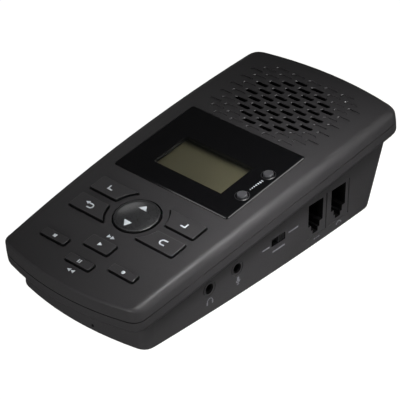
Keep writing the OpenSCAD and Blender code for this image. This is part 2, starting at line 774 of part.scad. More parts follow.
// Silicone mat with a hollow dome under each key and a saddle for the rocker's axle
mat_inset = 0.8;
mat_rear_v = nav_v + 13;
mat_base_w = board_top_w + touch_gap;
dome_r = 2.2;
dome_places = concat(
    [for (s = [-1, 1], v = [soft_v, lower_v]) [s * menu_foot_u, v]],
    [for (s = [-1, 1]) [s * transport_u, stop_v]],
    [[0, play_v], [0, pause_v]]
);
rock_dome_h = 1.85;
rock_dome_r = 1.6;
module dome(h, r) {
    rotate_extrude()
        polygon([[0, h - 0.4], [r * 0.6, h - 0.4], [r * 0.8, 0], [r * 1.2, 0], [r, h], [0, h]]);
}
module key_mat() {
    color("#6d7073") slab() translate([0, 0, mat_base_w]) {
        linear_extrude(mat_t) difference() {
            board_outline(mat_inset);
            translate([-2 * board_half_w, mat_rear_v]) square([4 * board_half_w, half_l]);
            for (s = [-1, 1])
                translate([s * board_front_screw.x, board_front_screw.y]) circle(r = board_boss_r + 0.4);
            for (p = dome_places) translate(p) circle(r = dome_r * 0.8);
        }
        for (p = dome_places) translate([p.x, p.y, 0]) dome(dome_w - mat_base_w, dome_r);
        for (s = [-1, 1])
            translate([0, pivot_v + s * nub_v, mat_t - eps]) cylinder(r = rock_dome_r, h = rock_dome_h);
        difference() {
            translate([0, pivot_v, mat_t - eps])
                cylinder(r = saddle_r, h = saddle_top_w - mat_base_w - mat_t);
            translate([0, pivot_v, pivot_w - mat_base_w]) rotate([0, 90, 0])
                cylinder(r = axle_r + axle_gap, h = 3 * saddle_r, center = true);
        }
    }
}

// Speaker: basket with magnet, and the cone with its roll and dust cap, in parts of its radius
speaker_flange_t = 1;
basket_r = 0.83 * speaker_r;
magnet_r = 0.56 * speaker_r;
magnet_z = -0.3 * speaker_r;
magnet_h = 0.22 * speaker_r;
slot_in_r = 0.136 * speaker_r;
slot_out_r = 0.184 * speaker_r;
slot_h = 0.16 * speaker_r;
basket_t = 0.8;
module speaker_frame() {
    r = speaker_r;
    color("#8a8c90") on_top(0, grille_v) translate([0, 0, speaker_ring_z - touch_gap])
        rotate_extrude($fn = 72) polygon([
            [r, 0], [r, -speaker_flange_t], [basket_r + basket_t, -speaker_flange_t],
            [basket_r, -3 * speaker_flange_t], [magnet_r, magnet_z - basket_t],
            [magnet_r, magnet_z - magnet_h], [0, magnet_z - magnet_h], [0, magnet_z - slot_h / 2],
            [slot_in_r, magnet_z - slot_h / 2], [slot_in_r, magnet_z - slot_h],
            [slot_out_r, magnet_z - slot_h], [slot_out_r, magnet_z], [magnet_r - basket_t, magnet_z],
            [basket_r - basket_t, -2.4 * speaker_flange_t], [basket_r + basket_t / 4, 0]
        ]);
}
coil_r = 0.144 * speaker_r;
coil_t = 0.7;
coil_z = magnet_z - 0.13 * speaker_r;
cone_z = -0.23 * speaker_r;
cone_t = 0.6;
roll_h = 0.5;
module speaker_cone() {
    r = basket_r - 0.1;
    roll = 0.06 * speaker_r;
    color("#202022") on_top(0, grille_v) translate([0, 0, speaker_ring_z - touch_gap])
        rotate_extrude($fn = 72) polygon([
            [r, -0.2], [r - roll, -0.2 + roll_h], [r - 2 * roll, -0.2], [coil_r + coil_t, cone_z],
            [coil_r - coil_t, cone_z + coil_t], [0, cone_z + 1.5 * coil_t], [0, cone_z + coil_t],
            [coil_r - coil_t, cone_z + 0.2], [coil_r, cone_z - 0.4], [coil_r, coil_z],
            [coil_r + coil_t, coil_z], [coil_r + coil_t, cone_z - cone_t], [r - 2 * roll, -0.2 - cone_t],
            [r - roll, -0.2 + roll_h - cone_t], [r - 0.2, -0.2 - cone_t]
        ]);
}

// Audio sockets on the upright board behind the right wall
side_board_x = 19.2;
side_board_y = [earphone_y - 9.2, switch_y + 8.9];
side_board_z = [inner_floor_z + seat_gap, 20.5];
side_board_face = side_board_x + board_t;
audio_body = [8, 7.6];
audio_face_gap = 0.05;
module side_board() {
    color("#1f5a36") translate([side_board_x, side_board_y[0], side_board_z[0]])
        cube([board_t, side_board_y[1] - side_board_y[0], side_board_z[1] - side_board_z[0]]);
}
module audio_jack(y, z) {
    face_x = wall_x(y) - audio_face_gap;
    body_x = wall_x(y) - wall - 2 * seat_gap;
    color("#19191b") difference() {
        union() {
            translate([side_board_face + touch_gap, y - audio_body[0] / 2, z - audio_body[1] / 2])
                cube([body_x - side_board_face - touch_gap, audio_body[0], audio_body[1]]);
            translate([body_x - eps, y, z]) rotate([0, 90, 0])
                cylinder(d = audio_nose_d, h = face_x - body_x + eps);
        }
        translate([face_x - audio_bore_l, y, z]) rotate([0, 90, 0])
            cylinder(d = audio_bore_d, h = audio_bore_l + 1);
        translate([face_x - 0.45, y, z]) rotate([0, 90, 0])
            cylinder(d1 = audio_bore_d, d2 = audio_bore_d + 1.1, h = 0.46);
    }
}
module earphone_jack() { audio_jack(earphone_y, earphone_z); }
module microphone_jack() { audio_jack(microphone_y, microphone_z); }

// Slide switch: body on the upright board, knob through the wall's slot, resting at the rear place
slider_gap = 0.3;
slider_l = switch_slot_l - switch_travel - 2 * slider_gap;
slider_h = switch_slot_h - 2 * slider_gap;
slider_rest_y = switch_y + switch_slot_l / 2 - slider_gap - slider_l;
switch_body = [6.6, 13, 6];
switch_well = 3;
switch_top_x = side_board_face + touch_gap + switch_body[0];
module mode_switch_body() {
    color("#b9bcc0") difference() {
        translate([side_board_face + touch_gap, switch_y, switch_z])
            translate([0, -switch_body[1] / 2, -switch_body[2] / 2]) cube(switch_body);
        translate([switch_top_x - switch_well, switch_y - switch_slot_l / 2, switch_z - switch_slot_h / 2])
            cube([switch_well + 1, switch_slot_l, switch_slot_h]);
    }
}
module mode_switch_slider() {
    x0 = switch_top_x - switch_well + slider_gap;
    x1 = wall_x(switch_y) - 0.2;
    groove = 0.5;
    color("#1d1d1f") translate([x0, slider_rest_y, switch_z - slider_h / 2]) difference() {
        cube([x1 - x0, slider_l, slider_h]);
        for (i = [1 : 3])
            translate([x1 - x0 - groove, (slider_l * i - 2 * groove) / 4, -1])
                cube([1, groove, slider_h + 2]);
    }
}

// Modular sockets on their small board: stepped latch notch downwards, four spring wires inside
line_board_z = inner_floor_z + 1.5;
line_board_top = line_board_z + board_t;
modular_top_t = 1;
notch_steps = [[5.8, 2.7], [3.5, 4.7]];
modular_bore_l = 13;
jack_face_gap = 0.15;
jack_wall_gap = 0.25;
jack_rear_gap = 0.55;
modular_roof_z = modular_top_z + modular_top_t;
function jack_face_x(y) =
    min(wall_x(y - modular_face_w / 2), wall_x(y + modular_face_w / 2)) - jack_face_gap;
module line_board() {
    y0 = line_y - modular_face_w / 2 - 1.5;
    y1 = phone_y + modular_face_w / 2 + 1.5;
    x1 = jack_face_x(phone_y) - 3.2;
    x0 = jack_face_x(line_y) - modular_depth - 4;
    color("#1f5a36") translate([x0, y0, line_board_z]) cube([x1 - x0, y1 - y0, board_t]);
}
module modular_jack(y) {
    x1 = jack_face_x(y);
    z0 = line_board_top + touch_gap;
    color("#161618") difference() {
        translate([x1 - modular_depth, y - modular_face_w / 2, z0])
            cube([modular_depth, modular_face_w, modular_roof_z - z0]);
        translate([x1 - modular_bore_l, y - modular_w / 2, modular_floor_z])
            cube([modular_bore_l + 1, modular_w, modular_top_z - modular_floor_z]);
        for (s = notch_steps)
            translate([x1 - modular_bore_l, y - s[0] / 2, modular_floor_z - s[1]])
                cube([modular_bore_l + 1, s[0], s[1] + 1]);
    }
}
wire_d = 0.5;
wire_pitch = 1.02;
wire_rise = 26;
module modular_contacts(y) {
    x0 = jack_face_x(y) - modular_bore_l;
    z0 = modular_top_z - 0.6;
    color("#c9a64a") for (i = [-1.5 : 1 : 1.5])
        translate([x0 + wire_d / 2 + touch_gap, y + i * wire_pitch, z0]) {
            rotate([0, 90 + wire_rise, 0]) cylinder(d = wire_d, h = 8, $fn = 16);
            sphere(d = wire_d, $fn = 16);
            rotate([0, 90, 0]) cylinder(d = wire_d, h = 9, $fn = 16);
        }
}
module line_jack() { modular_jack(line_y); }
module phone_jack() { modular_jack(phone_y); }
module line_jack_contacts() { modular_contacts(line_y); }
module phone_jack_contacts() { modular_contacts(phone_y); }

// Power inlet in the left wall: round mouth with a centre pin
power_body_w = 9;
power_bore_l = 10;
power_pin_sink = 0.8;
power_depth = 11;
power_pin_d = 2;
power_nose_d = 8.4;
module power_jack() {
    x1 = -wall_x(power_y) + audio_face_gap;
    x0 = -wall_x(power_y) + wall + 2 * seat_gap;
    z0 = inner_floor_z + touch_gap;
    color("#161618") {
        difference() {
            union() {
                translate([x0, power_y - power_body_w / 2, z0])
                    cube([power_depth, power_body_w, power_z + power_body_w / 2 - z0]);
                translate([x1, power_y, power_z]) rotate([0, 90, 0])
                    cylinder(d = power_nose_d, h = x0 - x1 + eps);
            }
            translate([x1 - 1, power_y, power_z]) rotate([0, 90, 0])
                cylinder(d = power_bore_d, h = power_bore_l + 1, $fn = 32);
        }
        translate([x1 + power_pin_sink, power_y, power_z]) rotate([0, 90, 0])
            cylinder(d = power_pin_d, h = power_bore_l, $fn = 16);
    }
}

// Microphone capsule in a groove of the floor, its port behind the small hole in the pedestal's front
mic_u = 10;
mic_z = 3.6;
mic_port_d = 1.4;
mic_port_l = 0.6;
mic_d = 3;
mic_l = 3;
mic_face_y = ped_front_y - ped_front_bow * (1 - pow(mic_u / ped_w_front, 2)) + inner_wall + seat_gap;
module on_mic_axis(y) {
    translate([mic_u, y, mic_z]) rotate([-90, 0, 0]) children();
}
module front_microphone() {
    color("#9a9ca0") on_mic_axis(mic_face_y) difference() {
        cylinder(d = mic_d, h = mic_l);
        translate([0, 0, -1]) cylinder(d = mic_port_d, h = 1 + mic_port_l);
    }
}

post_r = 3.8;
counterbore_r = 3;
screw_seat_w = -7;
screw_head_h = 2;
screw_head_r = 2.7;
screw_r = 1.4;
screw_tip_w = 3;
board_screw_r = 1;
case_depth = seam_h + 20;
screw_l = screw_tip_w - screw_seat_w;
board_screw_head_r = 2;
board_screw_head_h = 1.3;
board_screw_l = 5;
foot_side_in = 9.4;
foot_front_in = 15.9;
foot_rear_in = 33.9;
feet_u = ped_w_front - foot_side_in;
feet_places = [for (s = [-1, 1], y = [from_front(foot_front_in), from_rear(foot_rear_in)]) [s * feet_u, y]];
guide_w = 4.4;
guide_h = 12;

module above_floor() {
    translate([0, 0, inner_floor_z - eps]) linear_extrude(case_depth)
        square([4 * half_l, 4 * half_l], center = true);
}
module case_posts() {
    intersection() {
        slab() for (p = screw_places)
            translate([p.x, p.y, post_top_w - case_depth]) cylinder(r = post_r, h = case_depth);
        above_floor();
    }
    for (y = [side_board_y[0] - 1, side_board_y[1] + 1])
        translate([side_board_x + board_t / 2 - guide_w / 2, y - guide_w / 2, inner_floor_z - eps])
            cube([guide_w, guide_w, guide_h]);
    for (x = [-4, 4], y = [line_y, phone_y])
        translate([jack_face_x(line_y) - modular_depth / 2 + x, y, inner_floor_z - eps])
            cylinder(r = 1.6, h = line_board_z - inner_floor_z - touch_gap + eps);
}
jack_hole_w = modular_face_w + jack_wall_gap + jack_rear_gap;
jack_hole_z = line_board_top + touch_gap - jack_wall_gap;
module case_cuts() {
    slab() for (p = screw_places) {
        translate([p.x, p.y, screw_seat_w - case_depth]) cylinder(r = counterbore_r, h = case_depth);
        translate([p.x, p.y, screw_seat_w - 1]) cylinder(r = boss_bore_r + 0.2, h = screw_l);
    }
    translate([side_board_x - tongue_gap, side_board_y[0] - tongue_gap, side_board_z[0] - tongue_gap])
        cube([board_t + 2 * tongue_gap, side_board_y[1] - side_board_y[0] + 2 * tongue_gap, guide_h + 1]);
    for (p = [[earphone_y, earphone_z], [microphone_y, microphone_z]])
        translate([wall_x(p[0]) - wall - 2, p[0], p[1]]) rotate([0, 90, 0])
            cylinder(d = audio_nose_d + 2 * jack_wall_gap, h = wall + 5);
    for (y = [line_y, phone_y])
        translate([jack_face_x(y) - wall - 2, y - modular_face_w / 2 - jack_wall_gap, jack_hole_z])
            cube([wall + 6, jack_hole_w, modular_roof_z + jack_wall_gap - jack_hole_z]);
    translate([wall_x(switch_y) - wall - 2, switch_y - switch_slot_l / 2, switch_z - switch_slot_h / 2])
        cube([wall + 5, switch_slot_l, switch_slot_h]);
    translate([-wall_x(power_y) - 3, power_y, power_z]) rotate([0, 90, 0])
        cylinder(d = power_nose_d + 2 * jack_wall_gap, h = wall + 5);
    on_mic_axis(mic_face_y - inner_wall - 3) cylinder(d = mic_port_d, h = inner_wall + 4, $fn = 24);
    on_mic_axis(mic_face_y - seat_gap) cylinder(d = mic_d + 2 * seat_gap, h = mic_l + 2 * seat_gap);
    for (p = feet_places)
        translate([p.x, p.y, foot_h - 1]) cylinder(r = foot_r + tongue_gap, h = 1 + foot_recess);
}
module bottom_case() {
    color("#3a393c") difference() {
        union() {
            case_shell();
            case_posts();
        }
        case_cuts();
    }
}

// Screw with a cross recess, its head below the origin and its shank upwards
module screw(head_r, head_h, shank_r, shank_l) {
    difference() {
        union() {
            translate([0, 0, -head_h]) cylinder(r = head_r, h = head_h);
            translate([0, 0, -eps]) cylinder(r = shank_r, h = shank_l);
        }
        translate([0, 0, -head_h]) for (a = [0, 90]) rotate(a)
            cube([head_r * 1.1, head_r * 0.26, head_h], center = true);
    }
}
module case_screws() {
    color("#8f9296") slab() for (p = screw_places)
        translate([p.x, p.y, screw_seat_w - touch_gap])
            screw(screw_head_r, screw_head_h, screw_r, screw_l);
}
module board_screws() {
    color("#8f9296") slab() for (p = board_screw_places)
        translate([p.x, p.y, board_top_w - board_t - touch_gap])
            screw(board_screw_head_r, board_screw_head_h, board_screw_r, board_screw_l);
}
module rubber_feet() {
    color("#151516") for (p = feet_places) translate([p.x, p.y, 0]) rotate_extrude() polygon([
        [0, 0], [foot_r - 0.6, 0], [foot_r, 0.6], [foot_r, foot_h + foot_recess - touch_gap],
        [0, foot_h + foot_recess - touch_gap]
    ]);
}

top_cover();
bottom_case();
display_lens();
lcd_panel();
lcd_frame();
nav_key();
left_soft_key();
right_soft_key();
back_key();
clear_key();
stop_key();
play_key();
pause_key();
record_key();
rear_display_button();
front_display_button();
key_mat();
main_board();
board_chips();
display_switches();
speaker_frame();
speaker_cone();
side_board();
line_board();
earphone_jack();
microphone_jack();
mode_switch_body();
mode_switch_slider();
line_jack();
phone_jack();
line_jack_contacts();
phone_jack_contacts();
power_jack();
front_microphone();
case_screws();
board_screws();
rubber_feet();
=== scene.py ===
"""Finish, printed symbols and studio for a desktop phone call recorder.

Outlines and places on the part are in millimetres; properties, the frame and the studio are in metres.
"""

import json
import math

import bmesh
import bpy
from mathutils import Matrix, Vector


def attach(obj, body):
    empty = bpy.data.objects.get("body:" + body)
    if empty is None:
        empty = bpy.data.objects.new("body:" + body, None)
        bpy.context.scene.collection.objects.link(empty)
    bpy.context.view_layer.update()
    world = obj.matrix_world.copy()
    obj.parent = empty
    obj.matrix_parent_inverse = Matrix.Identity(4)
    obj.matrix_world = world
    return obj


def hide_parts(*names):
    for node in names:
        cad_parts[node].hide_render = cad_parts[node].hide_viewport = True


bl_info = {
    "name": "Phone Call Recorder Finish",
    "version": (1, 0, 0),
    "blender": (4, 5, 0),
    "location": "3D View > Sidebar > Recorder",
    "description": "Dresses the recorder's solids with smooth shells, keys, printed symbols and finishes",
    "category": "Object",
}

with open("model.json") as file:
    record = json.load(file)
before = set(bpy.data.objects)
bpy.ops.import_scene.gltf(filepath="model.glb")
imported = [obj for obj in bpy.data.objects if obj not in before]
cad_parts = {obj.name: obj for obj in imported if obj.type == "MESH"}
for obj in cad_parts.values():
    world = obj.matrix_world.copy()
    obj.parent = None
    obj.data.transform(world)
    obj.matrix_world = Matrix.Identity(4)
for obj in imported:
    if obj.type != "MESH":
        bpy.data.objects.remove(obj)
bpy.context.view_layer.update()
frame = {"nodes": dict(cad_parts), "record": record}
HOUSING = "housing"
# Millimetres in a metre
MM = 1000

# Right wall, in metres: the slab's half width at its front end and its growth to the rear, the bow of
# its side, how far the pedestal stands in from it in front and the growth of that, the pedestal's
# front end and its length
HALF_FRONT = 0.0386
HALF_GROWTH = 0.0031
SIDE_BOW = 0.0022
PEDESTAL_INSET = 0.0032
PEDESTAL_INSET_GROWTH = 0.0021
PEDESTAL_FRONT = -0.07464
PEDESTAL_LENGTH = 0.14622

# Rocker: place along the slab, radius of dome and rim, crown over the cover, the dome's fall, depth
NAV_V = -40.9
NAV_DOME_R = 8.7
NAV_R = 10.0
NAV_CROWN = 1.5
NAV_FALL = 1.05
NAV_DEPTH = 3.6
# Rolled rim: radius and height
NAV_RIM = (
    (8.85, 0.38),
    (9.0, 0.36),
    (9.2, 0.46),
    (9.5, 0.5),
    (9.75, 0.42),
    (9.92, 0.22),
    (NAV_R, -0.05),
)

# Menu keys, from the rocker's middle: near and far edge along the slab, outer side, radius of the arc
# that they leave round the rocker, and the rounding of their corners on it
MENU_NEAR = 2.0
MENU_FAR = 10.8
MENU_MID = (MENU_NEAR + MENU_FAR) / 2
MENU_OUTER = 29.2
MENU_ARC = 14.0
MENU_ARC_CORNER = 0.54
# The side of the rocker that each menu key lies on, across and along the slab
MENU_SIDES = {
    "left_soft_key": (-1, 1),
    "right_soft_key": (1, 1),
    "back_key": (-1, -1),
    "clear_key": (1, -1),
}
KEYS = {
    # node: (centre across, centre along the slab, kind of outline)
    "left_soft_key": (0.0, NAV_V + MENU_MID, "menu"),
    "right_soft_key": (0.0, NAV_V + MENU_MID, "menu"),
    "back_key": (0.0, NAV_V - MENU_MID, "menu"),
    "clear_key": (0.0, NAV_V - MENU_MID, "menu"),
    "stop_key": (-19.4, -69.4, "transport"),
    "record_key": (19.4, -69.4, "transport"),
    "play_key": (0.0, -62.7, "play"),
    "pause_key": (0.0, -74.7, "transport"),
}
# Width and lengths of the play and transport keys; outer corners and depth of all keys
KEY_WIDTH = 13.6
KEY_LENGTHS = {"play": 6.6, "transport": 4.2}
KEY_CORNER = 0.9
KEY_DEPTH = 3.2

# Display panel: middle along the slab, size, corner, chamfer, and the heights of its upper and lower
# face over the cover's top
LENS_V = 4.0
LENS_WIDTH = 64.2
LENS_LENGTH = 50.2
LENS_CORNER = 1.0
LENS_CHAMFER = 0.35
LENS_TOP = 0.2
LENS_UNDER = -1.6
# Window in the panel, and the clear sheet in it, which runs into the window's walls by a small lap
WINDOW_WIDTH = 38.2
WINDOW_LENGTH = 21.0
SHEET_LAP = 0.2
SHEET_CORNER = 0.2
SHEET_TOP = -0.05
SHEET_UNDER = -1.55
# Display cell: middle along the slab, size, rim, depth of the glass under the rim
LCD_V = 0.3
LCD_WIDTH = 45.6
LCD_LENGTH = 28.4
LCD_TOP = -1.9
LCD_UNDER = -4.5
LCD_RIM = 2.4
LCD_SINK = 0.7
# The rim and its inner walls lie over this height and are black
LCD_BLACK_OVER = -2.35

# Small buttons on the panel: places along the slab, place across it, radius of their holes
BUTTONS = {"rear_display_button": 10.8, "front_display_button": -6.1}
BUTTON_U = 27.2
BUTTON_HOLE_R = 2.5
# Half sections of a button and of the low lip round its hole: radius and height
BUTTON_SECTION = (
    (0, 1.14),
    (1.2, 1.18),
    (1.8, 1.2),
    (2.02, 1.14),
    (2.16, 1.0),
    (2.2, 0.8),
    (2.2, -3.8),
    (0, -3.8),
)
LIP_SECTION = ((2.85, 0.1), (2.85, 0.34), (3.05, 0.36), (3.4, 0.1), (2.85, 0.1))
# Steps of a full turn, and of the rocker's dome from its middle to its edge
BUTTON_STEPS = 48
NAV_STEPS = 96
NAV_DOME_STEPS = 12

# Speaker grille: middle along the slab; half of its field and its rims' chamfer, in metres
GRILLE_V = 53.3
GRILLE_REACH = 0.027
GRILLE_CHAMFER = 0.0003
# Slide switch's slot in the right wall, in metres
SLOT_X = 0.030
SLOT_Y = 0.0038
SLOT_Z = 0.0167
SLOT_HALF_L = 0.0046
SLOT_HALF_H = 0.0020
# Faces that lie within this depth of a socket's front belong to its front, in metres
SOCKET_FACE = 0.0003
# Share of a face's normal along an axis: over FACING it looks along it, under BESIDE it is a wall
# beside it; the switch's slot and the keys' skirts have limits of their own
FACING = 0.95
BESIDE = 0.3
SLOT_BESIDE = 0.5
SKIRT_UNDER = 0.75
# Past this share of a plate's half size, an edge belongs to its outer rim
OUTER_SHARE = 0.96
# Vertices of a solid that are closer than this are one, and shorter edges are dissolved, in metres
WELD = 2e-6
SLIVER = 1e-6

SOCKETS = ("earphone_jack", "microphone_jack", "line_jack", "phone_jack")
ROUND_FITTINGS = (
    "power_jack",
    "line_jack_contacts",
    "phone_jack_contacts",
    "case_screws",
    "rubber_feet",
    "front_microphone",
    "speaker_frame",
    "speaker_cone",
)

# Studio, in metres and watts
FLOOR_REACH = 3.0
FLOOR_DROP = 0.0001
AIR_STRENGTH = 0.04
LIGHTS = (
    # name, place, aim, side of the square, power, spread in degrees
    ("over_key", (0.135, -0.03, 0.335), (0.07, -0.01, 0.03), 0.10, 0.085, 50),
    ("right_key", (0.17, -0.03, 0.30), (0.09, -0.01, 0.035), 0.10, 0.14, 38),
    ("rear_key", (0.17, 0.06, 0.30), (0.085, 0.035, 0.04), 0.10, 0.02, 45),
    ("front_softbox", (0.15, -0.70, 0.10), (0.0, 0.0, 0.02), 0.20, 3.0, 180),
    ("side_softbox", (0.60, 0.05, 0.10), (0.0, 0.0, 0.02), 0.20, 0.55, 180),
    ("rear_side_softbox", (0.55, 0.45, 0.20), (0.0, 0.0, 0.02), 0.30, 0.7, 180),
    ("rim_softbox", (0.50, 0.36, 0.54), (0.0, 0.0, 0.03), 0.25, 0.8, 180),
    ("front_card", (-0.405, -0.584, 0.402), (0.03, -0.02, 0.038), 0.10, 0.08, 180),
    ("back_card", (-0.77, 0.46, 0.45), (0.0, 0.0, 0.03), 0.35, 0.33, 180),
)
# Photo's view: turn round the part and height over it in degrees, place and reach in metres, sensor
# and focal length in millimetres
CAMERA_AZIMUTH = 42.1
CAMERA_ELEVATION = 33.21
CAMERA_PLACE = (0.43141, -0.48057, 0.44429)
CAMERA_SENSOR = 36.0
CAMERA_FOCAL = 162.0
CAMERA_REACH = 20.0


def srgb(code):
    """Linear RGB of an sRGB hex colour."""
    parts = [int(code[i : i + 2], 16) / 255 for i in (1, 3, 5)]
    return tuple(c / 12.92 if c <= 0.04045 else ((c + 0.055) / 1.055) ** 2.4 for c in parts)


class RecorderSizes(bpy.types.PropertyGroup):
    """Sizes of the dressed pieces"""

    tilt: bpy.props.FloatProperty(
        name="Slope",
        description="Slope of the slab",
        default=math.radians(7.8),
        subtype="ANGLE",
    )
    seam_height: bpy.props.FloatProperty(
        name="Seam height",
        description="Height of the seam at mid length",
        default=0.0307,
        unit="LENGTH",
    )
    half_length: bpy.props.FloatProperty(
        name="Half length",
        description="Half of the slab's length",
        default=0.0824,
        unit="LENGTH",
    )
    arch: bpy.props.FloatProperty(
        name="Arch",
        description="Lengthwise arch of the slab",
        default=0.0022,
        unit="LENGTH",
    )
    cover_height: bpy.props.FloatProperty(
        name="Cover height",
        description="Cover's top over the seam",
        default=0.007,
        unit="LENGTH",
    )
    key_rise: bpy.props.FloatProperty(
        name="Key rise",
        description="Height of the key tops over the cover",
        default=0.0009,
        unit="LENGTH",
    )
    key_round: bpy.props.FloatProperty(
        name="Key rounding",
        description="Rounding of the key tops' edges",
        default=0.0003,
        unit="LENGTH",
    )
    ink: bpy.props.FloatProperty(
        name="Ink",
        description="Thickness of a printed symbol",
        default=0.00004,
        unit="LENGTH",
    )


class RecorderColours(bpy.types.PropertyGroup):
    """Colours of the finishes"""

    housing: bpy.props.FloatVectorProperty(
        name="Housing",
        description="Moulded shells",
        default=srgb("#292829"),
        subtype="COLOR",
    )
    keycap: bpy.props.FloatVectorProperty(
        name="Keys",
        description="Key caps",
        default=srgb("#2a292a"),
        subtype="COLOR",
    )
    rocker: bpy.props.FloatVectorProperty(
        name="Rocker",
        description="Domed rocker",
        default=srgb("#1f1f20"),
        subtype="COLOR",
    )
    print_black: bpy.props.FloatVectorProperty(
        name="Panel print",
        description="Black print behind the panel",
        default=srgb("#060607"),
        subtype="COLOR",
    )
    display: bpy.props.FloatVectorProperty(
        name="Display",
        description="Unlit display",
        default=srgb("#4e4b39"),
        subtype="COLOR",
    )
    symbol: bpy.props.FloatVectorProperty(
        name="Symbols",
        description="Symbols on keys and cover",
        default=srgb("#b4b9bd"),
        subtype="COLOR",
    )
    wall_symbol: bpy.props.FloatVectorProperty(
        name="Wall symbols",
        description="Symbols on the side wall",
        default=srgb("#616266"),
        subtype="COLOR",
    )
    floor: bpy.props.FloatVectorProperty(
        name="Floor",
        description="Studio floor",
        default=srgb("#f4f4f3"),
        subtype="COLOR",
    )


def sizes():
    """The sizes that the sidebar shows."""
    return bpy.context.scene.recorder_sizes


def colours():
    """The colours that the sidebar shows."""
    return bpy.context.scene.recorder_colours


def on_top(u, v):
    """Frame on the cover's surface at slab place (u, v) in millimetres, Z square to the surface."""
    s = sizes()
    u, v = u / MM, v / MM
    rise = s.cover_height + s.arch * (1 - (v / s.half_length) ** 2)
    slope = math.atan(-2 * s.arch * v / s.half_length**2)
    slab = Matrix.Translation((0, 0, s.seam_height)) @ Matrix.Rotation(s.tilt, 4, "X")
    return slab @ Matrix.Translation((u, v, rise)) @ Matrix.Rotation(slope, 4, "X")


def on_panel(u, v):
    """Frame on the flat display panel at slab place (u, v) in millimetres."""
    return on_top(0, LENS_V) @ Matrix.Translation((u / MM, (v - LENS_V) / MM, 0))


def wall_x(y):
    """Place of the right wall's outer face at y, in metres."""
    half_length = sizes().half_length
    along = (y + half_length) / (2 * half_length)
    half = HALF_FRONT + HALF_GROWTH * along + SIDE_BOW * (1 - (y / half_length) ** 2)
    return half - PEDESTAL_INSET - PEDESTAL_INSET_GROWTH * (y - PEDESTAL_FRONT) / PEDESTAL_LENGTH


def on_wall(y, z):
    """Frame on the right wall at (y, z) in millimetres: X rearwards, Y up, Z outwards."""
    y, z = y / MM, z / MM
    step = 0.001
    along = Vector((wall_x(y + step) - wall_x(y - step), 2 * step, 0)).normalized()
    up = Vector((0, 0, 1))
    out = along.cross(up)
    place = Matrix.Translation((wall_x(y), y, z))
    return place @ Matrix((along, up, out)).transposed().to_4x4()


# Finishes

# Range that a noise pattern mostly keeps to
PATTERN_RANGE = (0.3, 0.7)
# Slow clouds in moulded plastic and in the floor, in millimetres
FLOW_MM = 45
FLOOR_CLOUD_MM = 1000 / 6
# Sockets of the colour mix node, whose names repeat
MIX_FACTOR = 0
MIX_A = 6
MIX_B = 7
MIX_RESULT = 2


def add_node(tree, kind, values=None, links=None, **settings):
    """Adds a node with its settings, socket values and incoming links."""
    node = tree.nodes.new(kind)
    for name, value in settings.items():
        setattr(node, name, value)
    for name, value in (values or {}).items():
        node.inputs[name].default_value = value
    for name, source in (links or {}).items():
        tree.links.new(source, node.inputs[name])
    return node


def new_material(name, **values):
    """A material with its Principled shader set to the given values, and its piece's coordinates."""
    material = bpy.data.materials.new(name)
    material.use_nodes = True
    tree = material.node_tree
    shader = tree.nodes["Principled BSDF"]
    for socket, value in values.items():
        shader.inputs[socket.replace("_", " ")].default_value = value
    place = add_node(tree, "ShaderNodeTexCoord").outputs["Object"]
    return material, tree, shader, place


def shaded(tree, factor, colour, spread):
    """A colour that runs a little darker and lighter with a pattern."""
    ramp = add_node(tree, "ShaderNodeValToRGB", links={"Fac": factor})
    gains = (1 - spread, 1 + spread)
    for stop, position, gain in zip(ramp.color_ramp.elements, PATTERN_RANGE, gains):
        stop.color = (*[min(1, c * gain) for c in colour], 1)
        stop.position = position
    return ramp.outputs["Color"]


def spread_value(tree, factor, low, high):
    """A number that runs between two values with a pattern."""
    start, end = PATTERN_RANGE
    node = add_node(
        tree,
        "ShaderNodeMapRange",
        values={"From Min": start, "From Max": end, "To Min": low, "To Max": high},
        links={"Value": factor},
    )
    return node.outputs["Result"]


def moulded_plastic(name, colour, grain_mm, depth_mm, rough, cloud=0.05, gloss=0.35):
    """Moulded plastic with the spark-eroded grain of its tool.

    The grain breaks the highlight up into a soft sheen; slow clouds stand for flow and handling.
    """
    material, tree, shader, place = new_material(name, IOR=1.5, Specular_IOR_Level=gloss)
    grain = add_node(
        tree,
        "ShaderNodeTexNoise",
        values={"Scale": MM / grain_mm, "Detail": 3.0, "Roughness": 0.6},
        links={"Vector": place},
    )
    flow = add_node(
        tree,
        "ShaderNodeTexNoise",
        values={"Scale": MM / FLOW_MM, "Detail": 2.0, "Roughness": 0.5},
        links={"Vector": place},
    )
    bump = add_node(
        tree,
        "ShaderNodeBump",
        values={"Strength": 0.5, "Distance": depth_mm / MM},
        links={"Height": grain.outputs["Fac"]},
    )
    tree.links.new(shaded(tree, flow.outputs["Fac"], colour, cloud), shader.inputs["Base Color"])
    tree.links.new(spread_value(tree, grain.outputs["Fac"], *rough), shader.inputs["Roughness"])
    tree.links.new(bump.outputs["Normal"], shader.inputs["Normal"])
    return material


def polished_acrylic(name, colour, alpha):
    """Polished cast acrylic, black-printed on its back or clear over the window.

    It gives sharp reflections, softened a little by wiping marks.
    """
    material, tree, shader, place = new_material(name, IOR=1.49, Alpha=alpha)
    wipes = add_node(
        tree,
        "ShaderNodeTexNoise",
        values={"Scale": MM / 6, "Detail": 4.0, "Distortion": 0.4},
        links={"Vector": place},
    )
    tree.links.new(shaded(tree, wipes.outputs["Fac"], colour, 0.1), shader.inputs["Base Color"])
    tree.links.new(spread_value(tree, wipes.outputs["Fac"], 0.06, 0.09), shader.inputs["Roughness"])
    return material


